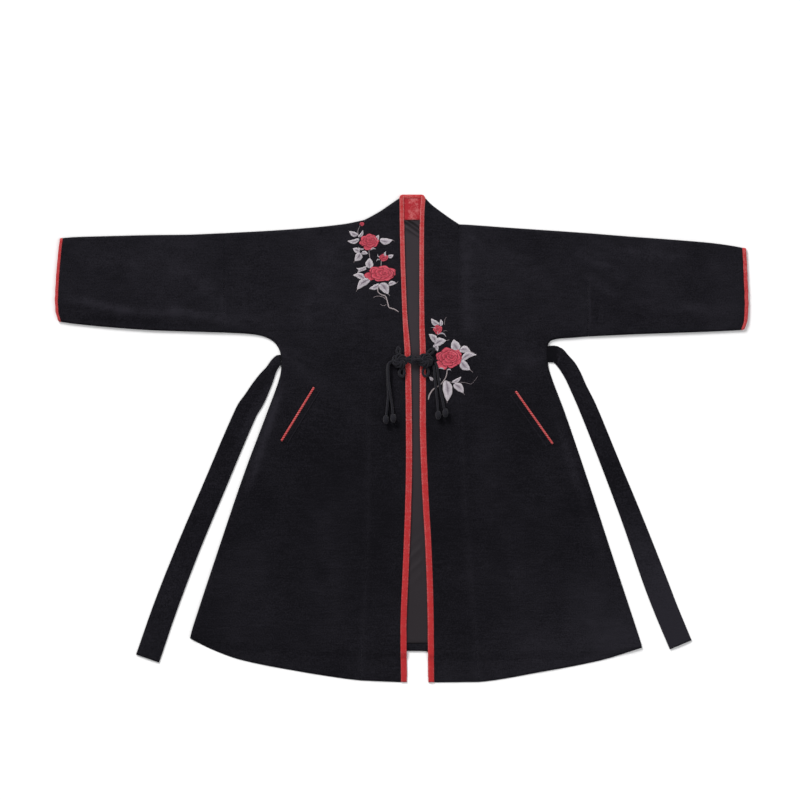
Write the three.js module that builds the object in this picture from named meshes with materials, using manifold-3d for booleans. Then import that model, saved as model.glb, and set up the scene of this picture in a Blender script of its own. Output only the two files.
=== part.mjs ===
// A long open-front hanfu coat in black velvet, laid flat on its back with the sleeves spread.
// Millimetres, +Z up. The back rests on Z = 0, +Y runs towards the collar, and +X towards the
// wearer's left sleeve. The origin is the middle of the laid-out coat, on the surface under it.
//
// The cut is drawn as a tailor draws it: "out" is a distance sideways from the centre front,
// and "drop" a distance down from the top of the collar.
import * as THREE from "three";
import { mergeVertices } from "three/addons/utils/BufferGeometryUtils.js";
import Module from "manifold-3d";

const wasm = await Module();
wasm.setup();

// ---------- driving dimensions ----------
const LENGTH = 1001; // top of the collar to the lowest point of the front hem
const CENTRE_X = 24; // the centre front, beside the middle of the cuff-to-cuff span
const TOP_Y = LENGTH / 2;

const BACK_WALL = 2.2; // velvet with its pile, and the turned seams behind it
const FRONT_WALL = 2.4;
const LINING_WALL = 0.8;
const SEAM_GAP = 0.3; // between pieces that are sewn to each other or lie on each other
const LINING_BOTTOM = BACK_WALL + SEAM_GAP;
const FRONT_BOTTOM = LINING_BOTTOM + LINING_WALL + SEAM_GAP;
const FRONT_TOP = FRONT_BOTTOM + FRONT_WALL;

const ROLL = 7; // how far in from the outline the front bends down to the surface
const BACK_INSET = 3.6; // the back ends this far inside the front's rolled edge
// The rolled edge: how far in from the outline, how high the wall is there as a share of its
// full height, and whether its underside is down beside the back or up on it.
const ROLL_LINES = [
  { inset: 3.1, height: 0.86, besideBack: false },
  { inset: 2.7, height: 0.82, besideBack: true },
  { inset: 1.2, height: 0.6, besideBack: true },
  { inset: 0, height: 0.22, besideBack: true },
];

// The red velvet edge along both fronts gets wider below the chest.
const BINDING = [
  { drop: 0, width: 8.8 },
  { drop: 240, width: 9.4 },
  { drop: 320, width: 11.8 },
  { drop: LENGTH, width: 12.2 },
];
const BINDING_STANDS = 0.8; // above the band beside it
const CUFF_BINDING = 8;
const NECK_BINDING = 8;
const FACING_DROP = 52; // lower edge of the red facing inside the back of the collar
const NECK_SEAM_DROP = 56; // where the collar is sewn to the back
const LINING_DROP = 920; // lower edge of the lining
const BACK_HEM_DROP = 935; // hem of the back at its middle
const FLOOR_REACH = 16; // below the back's hem the fronts come down to the surface in this length

const TIE_WALL = 3; // a side tie is a double band
// Where a pocket's strips lie across its opening, measured from the opening inwards.
const WELT = { from: 2.6, to: 15, thickness: 1.1, shortAtEnds: 1 };
const PIPING = { from: -1.7, to: 2.2, thickness: 2.2, shortAtEnds: 0 };

const CORD = 5.2; // diameter of the frog's cord
const END_KNOT = 13.6; // diameter of the ball knots on the frog's tails

// ---------- the cut of each half ----------
// The wearer's right lies on the -X side and reaches a little further.
const SIDES = {
  right: {
    sign: -1,
    sleeveSeam: 387,
    backHemRise: 31,
    collar: [
      { out: 29, drop: 8 },
      { out: 48, drop: 21 },
      { out: 67, drop: 34 },
      { out: 88, drop: 46 },
      { out: 100, drop: 52 },
    ],
    shoulder: [
      { out: 100, drop: 52 },
      { out: 139, drop: 60 },
      { out: 211, drop: 68 },
      { out: 293, drop: 74 },
      { out: 387, drop: 79 },
    ],
    underarm: [
      { out: 387, drop: 283 },
      { out: 334, drop: 286 },
      { out: 306, drop: 291 },
      { out: 285, drop: 302 },
      { out: 273, drop: 321 },
      { out: 270, drop: 345 },
      { out: 273, drop: 374 },
      { out: 298, drop: 444 },
      { out: 345, drop: 569 },
      { out: 400, drop: 731 },
      { out: 452, drop: 889 },
      { out: 457, drop: 909 },
    ],
    underarmCorner: { out: 285, drop: 302 },
    hem: [
      { out: 15, drop: 1000 },
      { out: 108, drop: 996 },
      { out: 231, drop: 978 },
      { out: 354, drop: 953 },
      { out: 457, drop: 909 },
    ],
    bandSeam: [
      { drop: 52, out: 99 },
      { drop: 226, out: 93 },
      { drop: 667, out: 93 },
      { drop: 850, out: 101 },
      { drop: 1000, out: 108 },
    ],
    frontEdge: [
      { drop: 0, out: 27.5 },
      { drop: 56, out: 27 },
      { drop: 134, out: 25.5 },
      { drop: 257, out: 21 },
      { drop: 340, out: 16.5 },
      { drop: 544, out: 14.3 },
      { drop: 667, out: 17 },
      { drop: 790, out: 22 },
      { drop: 880, out: 25.5 },
      { drop: 1001, out: 24.5 },
    ],
    sleeve: [
      { out: 387, top: 79, bottom: 283, bow: 0 },
      { out: 457, top: 82, bottom: 281, bow: 0 },
      { out: 539, top: 83, bottom: 278, bow: 1 },
      { out: 621, top: 85, bottom: 272, bow: 3 },
      { out: 690, top: 87, bottom: 265, bow: 5 },
      { out: 714, top: 89, bottom: 261, bow: 10 },
    ],
    tie: [
      { out: 274.6, drop: 345, width: 9, height: 3.4 },
      { out: 287, drop: 352, width: 22, height: 6.5 },
      { out: 302, drop: 372, width: 36, height: 4.6 },
      { out: 317, drop: 397, width: 44, height: 3.6 },
      { out: 342, drop: 446, width: 46, height: 3.4 },
      { out: 410, drop: 605, width: 46, height: 4 },
      { out: 457, drop: 716, width: 46, height: 3.4 },
      { out: 505, drop: 839, width: 46, height: 3.6 },
      { out: 543, drop: 948, width: 48, height: 3.4 },
    ],
    pocket: { top: { out: 203, drop: 395 }, bottom: { out: 270, drop: 505 } },
    knot: { out: 26, drop: 341, turn: 90 },
    ear: { out: 28, drop: 320.5, tilt: 0.1 },
    ring: { out: 22.5, drop: 363.5 },
    tails: [
      {
        route: [
          { out: 43.2, drop: 344, lift: 0 },
          { out: 49.5, drop: 346.5, lift: 0 },
          { out: 52.2, drop: 353, lift: 0 },
          { out: 52.4, drop: 368, lift: 0 },
          { out: 51.2, drop: 390, lift: 0 },
          { out: 50.6, drop: 411, lift: 0 },
          { out: 52.3, drop: 433, lift: 0 },
          { out: 54.5, drop: 454.2, lift: 0 },
        ],
        knot: { out: 55.4, drop: 461 },
      },
      {
        route: [
          { out: 42.9, drop: 342.2, lift: 5.4 },
          { out: 48.5, drop: 344.6, lift: 5.4 },
          { out: 50.6, drop: 352.5, lift: 5.4 },
          { out: 50.4, drop: 368, lift: 5.4 },
          { out: 49, drop: 388, lift: 5.2 },
          { out: 46.6, drop: 405, lift: 3.8 },
          { out: 44.4, drop: 420, lift: 0.8 },
          { out: 42.2, drop: 436, lift: 0 },
          { out: 41, drop: 451.7, lift: 0 },
        ],
        knot: { out: 40.3, drop: 458.5 },
      },
    ],
  },
  left: {
    sign: 1,
    sleeveSeam: 359,
    backHemRise: 12,
    collar: [
      { out: 26, drop: 8 },
      { out: 39, drop: 21 },
      { out: 56, drop: 34 },
      { out: 74, drop: 47 },
      { out: 95, drop: 61 },
    ],
    shoulder: [
      { out: 95, drop: 61 },
      { out: 117, drop: 62 },
      { out: 199, drop: 68 },
      { out: 302, drop: 75 },
      { out: 359, drop: 79 },
    ],
    underarm: [
      { out: 359, drop: 291 },
      { out: 322, drop: 294 },
      { out: 297, drop: 296 },
      { out: 281, drop: 301 },
      { out: 276, drop: 314 },
      { out: 276, drop: 333 },
      { out: 280, drop: 362 },
      { out: 311, drop: 446 },
      { out: 361, drop: 593 },
      { out: 413, drop: 753 },
      { out: 466, drop: 914 },
      { out: 470, drop: 929 },
    ],
    underarmCorner: { out: 281, drop: 301 },
    hem: [
      { out: 15, drop: 1000 },
      { out: 138, drop: 999 },
      { out: 261, drop: 979 },
      { out: 384, drop: 955 },
      { out: 470, drop: 929 },
    ],
    bandSeam: [
      { drop: 52, out: 93 },
      { drop: 288, out: 92 },
      { drop: 544, out: 101 },
      { drop: 770, out: 117 },
      { drop: 1000, out: 136 },
    ],
    frontEdge: [
      { drop: 0, out: 26.5 },
      { drop: 42, out: 23.5 },
      { drop: 134, out: 22.8 },
      { drop: 257, out: 23.6 },
      { drop: 318, out: 26.4 },
      { drop: 482, out: 27 },
      { drop: 606, out: 31.6 },
      { drop: 728, out: 38.4 },
      { drop: 851, out: 42.4 },
      { drop: 1001, out: 43.6 },
    ],
    sleeve: [
      { out: 359, top: 79, bottom: 291, bow: 0 },
      { out: 445, top: 86, bottom: 287, bow: 0 },
      { out: 527, top: 92, bottom: 284, bow: 0 },
      { out: 609, top: 99, bottom: 281, bow: 1 },
      { out: 650, top: 105, bottom: 279, bow: 5 },
      { out: 666, top: 109, bottom: 278, bow: 10.5 },
    ],
    tie: [
      { out: 279.6, drop: 328, width: 35, height: 3.2 },
      { out: 296, drop: 329, width: 37, height: 4 },
      { out: 304, drop: 333, width: 40, height: 7.2 },
      { out: 318, drop: 348, width: 38, height: 6 },
      { out: 330, drop: 372, width: 38, height: 4 },
      { out: 358, drop: 436, width: 36, height: 3.4 },
      { out: 402, drop: 545, width: 38, height: 4.2 },
      { out: 452, drop: 667, width: 42, height: 3.4 },
      { out: 500, drop: 790, width: 47, height: 4 },
      { out: 548, drop: 920, width: 47, height: 3.4 },
    ],
    pocket: { top: { out: 211, drop: 403 }, bottom: { out: 287, drop: 511 } },
    knot: { out: 26.5, drop: 340, turn: 64 },
    ear: { out: 35, drop: 321.5, tilt: -0.5 },
    ring: { out: 25.5, drop: 362.5 },
    tails: [
      {
        route: [
          { out: 41.6, drop: 349.8, lift: 0 },
          { out: 43.4, drop: 358, lift: 0 },
          { out: 45.5, drop: 380, lift: 0 },
          { out: 48, drop: 404, lift: 0 },
          { out: 50.6, drop: 428, lift: 0 },
          { out: 51.8, drop: 445.2, lift: 0 },
        ],
        knot: { out: 52, drop: 452 },
      },
      {
        route: [
          { out: 46, drop: 343.6, lift: 0 },
          { out: 49.4, drop: 353, lift: 0 },
          { out: 52, drop: 374, lift: 0 },
          { out: 56, drop: 398, lift: 0 },
          { out: 61, drop: 423, lift: 0 },
          { out: 64.9, drop: 440.8, lift: 0 },
        ],
        knot: { out: 66.6, drop: 447.5 },
      },
    ],
  },
};

// The largest soft folds of the fronts and sleeves, each a ridge from one point to another.
const FOLDS = [
  { side: "right", out: 706, drop: 214, toOut: 300, toDrop: 252, halfWidth: 15, height: 4.5 },
  { side: "right", out: 690, drop: 128, toOut: 560, toDrop: 150, halfWidth: 20, height: 1.6 },
  { side: "right", out: 500, drop: 150, toOut: 400, toDrop: 205, halfWidth: 20, height: 2 },
  { side: "right", out: 268, drop: 395, toOut: 400, toDrop: 800, halfWidth: 15, height: 3.2 },
  { side: "right", out: 262, drop: 322, toOut: 176, toDrop: 408, halfWidth: 12, height: 2.8 },
  { side: "right", out: 150, drop: 110, toOut: 240, toDrop: 290, halfWidth: 28, height: 2.4 },
  { side: "right", out: 160, drop: 560, toOut: 190, toDrop: 940, halfWidth: 38, height: 2 },
  { side: "right", out: 330, drop: 700, toOut: 372, toDrop: 930, halfWidth: 30, height: 2.2 },
  { side: "left", out: 372, drop: 204, toOut: 668, toDrop: 252, halfWidth: 15, height: 4 },
  { side: "left", out: 352, drop: 150, toOut: 440, toDrop: 190, halfWidth: 12, height: 2.6 },
  { side: "left", out: 560, drop: 130, toOut: 420, toDrop: 120, halfWidth: 18, height: 1.8 },
  { side: "left", out: 265, drop: 322, toOut: 150, toDrop: 392, halfWidth: 13, height: 2.8 },
  { side: "left", out: 117, drop: 80, toOut: 160, toDrop: 260, halfWidth: 24, height: 2.4 },
  { side: "left", out: 288, drop: 430, toOut: 392, toDrop: 760, halfWidth: 14, height: 2.6 },
  { side: "left", out: 150, drop: 480, toOut: 240, toDrop: 930, halfWidth: 36, height: 2.2 },
  { side: "left", out: 340, drop: 760, toOut: 398, toDrop: 940, halfWidth: 26, height: 2 },
];

// ---------- small helpers ----------
const lerp = (a, b, t) => a + (b - a) * t;

const smooth = (t) => {
  const s = Math.min(1, Math.max(0, t));
  return s * s * (3 - 2 * s);
};

const steps = (count) => Array.from({ length: count + 1 }, (_, i) => i / count);

// A smooth function of one column of a table, giving another column.
function read(table, key, value) {
  const slope = (i) => {
    const a = table[Math.max(0, i - 1)];
    const b = table[Math.min(table.length - 1, i + 1)];
    return (b[value] - a[value]) / (b[key] - a[key]);
  };
  return (at) => {
    let i = table.findIndex((row) => row[key] > at) - 1;
    if (i < 0) i = at <= table[0][key] ? 0 : table.length - 2;
    const a = table[i];
    const b = table[i + 1];
    const span = b[key] - a[key];
    const t = Math.min(1, Math.max(0, (at - a[key]) / span));
    const bend = t * (1 - t) * span;
    const line = lerp(a[value], b[value], smooth(t));
    return line + bend * (slope(i) * (1 - t) - slope(i + 1) * t);
  };
}

// A smooth curve through a table of points, in the cut's own out and drop.
const curveOf = (table) =>
  new THREE.SplineCurve(table.map((p) => new THREE.Vector2(p.out, p.drop)));

// The share of a curve's length at which some distance from it is least.
function shareOfLeast(curve, distance) {
  const shares = steps(800);
  const far = shares.map((share) => distance(curve.getPointAt(share)));
  return shares[far.indexOf(Math.min(...far))];
}

const shareNearest = (curve, { out, drop }) =>
  shareOfLeast(curve, (p) => Math.hypot(p.x - out, p.y - drop));

const shareAtOut = (curve, out) => shareOfLeast(curve, (p) => Math.abs(p.x - out));

const flat = (side, out, drop) => ({ x: CENTRE_X + side.sign * out, y: TOP_Y - drop });

function foldHeight(side, out, drop) {
  let height = 0;
  for (const fold of FOLDS) {
    if (SIDES[fold.side] !== side) continue;
    const run = { out: fold.toOut - fold.out, drop: fold.toDrop - fold.drop };
    const length = Math.hypot(run.out, run.drop);
    const along =
      ((out - fold.out) * run.out + (drop - fold.drop) * run.drop) / (length * length);
    const across =
      ((out - fold.out) * run.drop - (drop - fold.drop) * run.out) / length;
    const ends = smooth((along + 0.12) / 0.3) * smooth((1.12 - along) / 0.3);
    height += fold.height * ends * Math.exp(-((across / fold.halfWidth) ** 2));
  }
  return height;
}

const backHem = (side, out) =>
  BACK_HEM_DROP - side.backHemRise * (out / side.hem.at(-1).out) ** 2;

// How high the underside of the fronts is: on the back and the lining, and down on the surface
// where the fronts hang past the back's hem.
function frontUnder(side, out, drop) {
  const past = (drop - backHem(side, out) - 4) / FLOOR_REACH;
  return FRONT_BOTTOM * (1 - smooth(past)) + foldHeight(side, out, drop);
}

// One point of a front: where it is, and the height of its wall's two faces.
function frontPoint(side, out, drop, thickness = FRONT_WALL) {
  const bottom = frontUnder(side, out, drop);
  return { ...flat(side, out, drop), top: bottom + thickness, bottom };
}

// The lines of points that carry a front from its outline inset by ROLL down to the surface.
function rollStrip(side, edgePoints) {
  const inner = edgePoints.map(({ point, inward }) =>
    frontPoint(side, point.x + inward.x * ROLL, point.y + inward.y * ROLL),
  );
  const lines = ROLL_LINES.map(({ inset, height, besideBack }) =>
    edgePoints.map(({ point, inward }) => {
      const out = point.x + inward.x * inset;
      const drop = point.y + inward.y * inset;
      const full = frontPoint(side, out, drop);
      return {
        x: full.x,
        y: full.y,
        top: full.top * height,
        bottom: besideBack ? SEAM_GAP : Math.min(full.bottom, FRONT_BOTTOM),
      };
    }),
  );
  return [inner, ...lines];
}

// Points on a curve of the cut with the direction that leads inwards.
function edgeAt(curve, shares) {
  return shares.map((share) => {
    const along = curve.getTangentAt(share);
    return { point: curve.getPointAt(share), inward: new THREE.Vector2(-along.y, along.x) };
  });
}

// ---------- solids from points ----------
const material = (colour, roughness) =>
  new THREE.MeshStandardMaterial({ color: colour, roughness, metalness: 0 });

const VELVET = material(0x1b1a1f, 0.95);
const RED_VELVET = material(0xb2363a, 0.9);
const LINING = material(0x3b373a, 0.6);
const CORD_BLACK = material(0x17171a, 0.8);

const coat = new THREE.Group();

function add(name, geometry, finish) {
  const mesh = new THREE.Mesh(geometry, finish);
  mesh.name = name;
  coat.add(mesh);
}

function geometryOf(points, triangles) {
  const geometry = new THREE.BufferGeometry();
  geometry.setAttribute("position", new THREE.Float32BufferAttribute(points.flat(), 3));
  geometry.setIndex(triangles.flat());
  return geometry;
}

// A closed wall of cloth from patches, which are rows of points { x, y, top, bottom }. Patches
// are welded where they share points, and a rim closes each free edge.
function wall(patches) {
  const found = new Map();
  const points = [];
  const idOf = (p) => {
    const key = `${p.x.toFixed(2)} ${p.y.toFixed(2)}`;
    if (!found.has(key)) {
      found.set(key, points.length);
      points.push(p);
    }
    return found.get(key);
  };
  const triangles = [];
  const addTriangle = (a, b, c) => {
    const [p, q, r] = [points[a], points[b], points[c]];
    const turn = (q.x - p.x) * (r.y - p.y) - (r.x - p.x) * (q.y - p.y);
    if (Math.abs(turn) > 1e-4) triangles.push(turn > 0 ? [a, b, c] : [a, c, b]);
  };
  for (const rows of patches)
    for (let r = 0; r < rows.length - 1; r++)
      for (let c = 0; c < rows[r].length - 1; c++) {
        const [a, b] = [idOf(rows[r][c]), idOf(rows[r][c + 1])];
        const [d, e] = [idOf(rows[r + 1][c]), idOf(rows[r + 1][c + 1])];
        addTriangle(a, b, e);
        addTriangle(a, e, d);
      }
  const edges = new Set(triangles.flatMap(([a, b, c]) => [`${a} ${b}`, `${b} ${c}`, `${c} ${a}`]));
  const under = points.length;
  const faces = triangles.flatMap(([a, b, c]) => [
    [a, b, c],
    [under + c, under + b, under + a],
  ]);
  for (const edge of edges) {
    const [a, b] = edge.split(" ").map(Number);
    if (edges.has(`${b} ${a}`)) continue;
    faces.push([b, a, under + a], [b, under + a, under + b]);
  }
  const corners = [
    ...points.map((p) => [p.x, p.y, p.top]),
    ...points.map((p) => [p.x, p.y, p.bottom]),
  ];
  return geometryOf(corners, faces);
}

// A solid through rings that have as many points as each other, with flat ends.
function loft(rings) {
  const size = rings[0].length;
  const faces = [];
  for (let r = 0; r < rings.length - 1; r++)
    for (let i = 0; i < size; i++) {
      const [a, b] = [r * size + i, r * size + ((i + 1) % size)];
      faces.push([a, b, b + size], [a, b + size, a + size]);
    }
  const last = (rings.length - 1) * size;
  for (let i = 1; i < size - 1; i++)
    faces.push([0, i + 1, i], [last, last + i, last + i + 1]);
  return facingOut(geometryOf(rings.flat(), faces));
}

// A tube of cloth: each ring has an outer and an inner loop of points, and both ends are open.
function tubeOf(rings) {
  const size = rings[0].outer.length;
  const stride = 2 * size;
  const faces = [];
  for (let r = 0; r < rings.length - 1; r++)
    for (let i = 0; i < size; i++) {
      const [a, b] = [r * stride + i, r * stride + ((i + 1) % size)];
      const [c, d] = [a + size, b + size];
      faces.push([a, b, b + stride], [a, b + stride, a + stride]);
      faces.push([c, d + stride, d], [c, c + stride, d + stride]);
    }
  const last = (rings.length - 1) * stride;
  for (let i = 0; i < size; i++) {
    const next = (i + 1) % size;
    faces.push([i, size + i, size + next], [i, size + next, next]);
    faces.push(
      [last + i, last + size + next, last + size + i],
      [last + i, last + next, last + size + next],
    );
  }
  return facingOut(geometryOf(rings.flatMap((r) => [...r.outer, ...r.inner]), faces));
}

// Turns a closed surface that was wound inside out, as on the mirrored half.
function facingOut(geometry) {
  const p = geometry.getAttribute("position");
  const index = geometry.getIndex();
  const corner = (i) => new THREE.Vector3().fromBufferAttribute(p, index.getX(i));
  let volume = 0;
  for (let i = 0; i < index.count; i += 3)
    volume += corner(i).dot(corner(i + 1).cross(corner(i + 2)));
  if (volume < 0) index.array.reverse();
  return geometry;
}

function solidOf(geometry) {
  const bare = geometry.clone();
  bare.deleteAttribute("normal");
  bare.deleteAttribute("uv");
  const merged = mergeVertices(bare, 1e-4);
  return new wasm.Manifold(
    new wasm.Mesh({
      numProp: 3,
      vertProperties: merged.getAttribute("position").array,
      triVerts: new Uint32Array(merged.getIndex().array),
    }),
  );
}

function fromSolid(solid) {
  const mesh = solid.getMesh();
  const geometry = new THREE.BufferGeometry();
  geometry.setAttribute("position", new THREE.BufferAttribute(mesh.vertProperties, 3));
  geometry.setIndex(new THREE.BufferAttribute(mesh.triVerts, 1));
  return geometry;
}

const joined = (geometries) =>
  fromSolid(geometries.map(solidOf).reduce((whole, next) => whole.add(next)));

// A flat piece cut to an outline, lying between two heights.
function flatPiece(outline, bottom, thickness) {
  const shape = new THREE.Shape(outline.map((p) => new THREE.Vector2(p.x, p.y)));
  const geometry = new THREE.ExtrudeGeometry(shape, { depth: thickness, bevelEnabled: false });
  return geometry.translate(0, 0, bottom);
}

// A round cord along a route of points, with sections of as many sides as asked for.
function cordAlong(route, diameter, sides, sections) {
  const path = new THREE.CatmullRomCurve3(route, false, "centripetal");
  const section = new THREE.Shape(
    steps(sides)
      .slice(0, -1)
      .map((s) => {
        const angle = 2 * Math.PI * s;
        return new THREE.Vector2(
          (Math.cos(angle) * diameter) / 2,
          (Math.sin(angle) * diameter) / 2,
        );
      }),
  );
  return new THREE.ExtrudeGeometry(section, { steps: sections, extrudePath: path });
}

// ---------- back, collar and lining ----------
// Shares of the way from one line of a front to the next.
const BODY_COLUMNS = steps(9);
const SLEEVE_COLUMNS = steps(3);
const CHEST_ROWS = steps(7);
const SKIRT_ROWS = steps(12);
const HEM_ROWS = [0, 0.1, 0.23, 0.5, 0.97, 1];
const COLLAR_ROWS = [0.12, 0.4, 0.7, 1];

// Where the rows of a front end on the curve under the arm and down the side: the sleeve's
// share of it up to the corner, and the skirt's from there to just above the hem.
function underarmShares(side) {
  const corner = shareNearest(curveOf(side.underarm), side.underarmCorner);
  return {
    sleeve: SLEEVE_COLUMNS.map((s) => corner * s),
    skirt: SKIRT_ROWS.map((s) => lerp(corner, 0.985, s ** 1.15)),
  };
}

// What lies on the back under the fronts' opening, from one height of the coat to another.
const LINING_REACH = { right: 45, left: 60 };
const openingStrip = (top, low) => [
  flat(SIDES.right, LINING_REACH.right, top),
  flat(SIDES.right, LINING_REACH.right, low),
  flat(SIDES.left, LINING_REACH.left, low),
  flat(SIDES.left, LINING_REACH.left, top),
];

const insetOf = (edges, inset) =>
  edges.map(({ point, inward }) => ({
    out: point.x + inward.x * inset,
    drop: point.y + inward.y * inset,
  }));

// Half the outline of the back, from the neck round the sleeve and side to the hem's middle.
function backHalf(side) {
  const shoulder = insetOf(edgeAt(curveOf(side.shoulder), steps(10)), BACK_INSET);
  const { sleeve, skirt } = underarmShares(side);
  const shares = [...sleeve, ...skirt.slice(1)];
  const underarm = insetOf(edgeAt(curveOf(side.underarm), shares), BACK_INSET);
  const seam = side.sleeveSeam - SEAM_GAP / 2;
  const reach = (p) => (p.drop < side.underarmCorner.drop ? seam : Infinity);
  const corner = underarm.at(-1).out;
  const hem = steps(10).map((s) => {
    const out = corner * (1 - s);
    return { out, drop: backHem(side, out) };
  });
  const above = underarm.filter((p) => p.drop < backHem(side, p.out) - 3);
  return [...shoulder, ...above, ...hem].map((p) =>
    flat(side, Math.min(p.out, reach(p)), Math.max(p.drop, NECK_SEAM_DROP)),
  );
}

// The back, with the strip of its turned-up hem that shows below the lining.
function addBack() {
  const right = backHalf(SIDES.right);
  const left = backHalf(SIDES.left);
  const outline = [...right, ...left.slice(0, -1).reverse()];
  const foldLow = backHem(SIDES.left, LINING_REACH.left) - 1;
  const fold = openingStrip(LINING_DROP + SEAM_GAP, foldLow);
  const parts = [
    flatPiece(outline, 0, BACK_WALL),
    flatPiece(fold, BACK_WALL - SEAM_GAP, SEAM_GAP + LINING_WALL),
  ];
  add("back", joined(parts), VELVET);
}

// The back of the collar lies under the fronts' bands, with its red facing upwards.
function addCollarBack() {
  const high = NECK_BINDING + SEAM_GAP;
  const low = NECK_SEAM_DROP - SEAM_GAP;
  const slope = (side) => {
    const edge = insetOf(edgeAt(curveOf(side.collar), COLLAR_ROWS), BACK_INSET);
    const above = edge.filter((p) => p.drop > high && p.drop < low - 1);
    const slopeOut = read(side.collar, "drop", "out");
    const ends = [
      { out: above[0].out - 8, drop: high },
      { out: slopeOut(low) - 1.7 * BACK_INSET, drop: low },
    ];
    return [ends[0], ...above, ends[1]].map((p) => flat(side, p.out, p.drop));
  };
  const outline = [...slope(SIDES.right), ...slope(SIDES.left).reverse()];
  add("collar_back", flatPiece(outline, 0, BACK_WALL), VELVET);

  const facing = [
    flat(SIDES.right, 25, high),
    flat(SIDES.right, 44, 26),
    flat(SIDES.right, 48, FACING_DROP),
    flat(SIDES.left, 46, FACING_DROP),
    flat(SIDES.left, 38, 26),
    flat(SIDES.left, 22, high),
  ];
  add("neck_facing", flatPiece(facing, LINING_BOTTOM, LINING_WALL), RED_VELVET);
}

// The rolled red edge across the back of the neck, up against the strips of the fronts.
function neckBinding() {
  const top = FRONT_BOTTOM + SEAM_GAP;
  const section = [
    { drop: NECK_BINDING, z: 0 },
    { drop: NECK_BINDING, z: top },
    { drop: 2.6, z: top },
    { drop: 0.7, z: 0.8 * top },
    { drop: 0, z: 0.45 * top },
    { drop: 0.6, z: 0 },
  ];
  const ends = [
    { x: CENTRE_X - 27, lower: 5 },
    { x: CENTRE_X - 21, lower: 0 },
    { x: CENTRE_X + 18, lower: 0 },
    { x: CENTRE_X + 24, lower: 5 },
  ];
  const rings = ends.map(({ x, lower }) =>
    section.map(({ drop, z }) => [x, TOP_Y - Math.max(drop, drop * 0.3 + lower), z]),
  );
  return loft(rings);
}

// The lining shows between the fronts, and ends above the back's turned-up hem.
function addLining() {
  const lining = openingStrip(FACING_DROP + SEAM_GAP, LINING_DROP);
  add("back_lining", flatPiece(lining, LINING_BOTTOM, LINING_WALL), LINING);
}

// ---------- fronts ----------
const between = (a, b, t) => ({ out: lerp(a.out, b.out, t), drop: lerp(a.drop, b.drop, t) });

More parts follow.
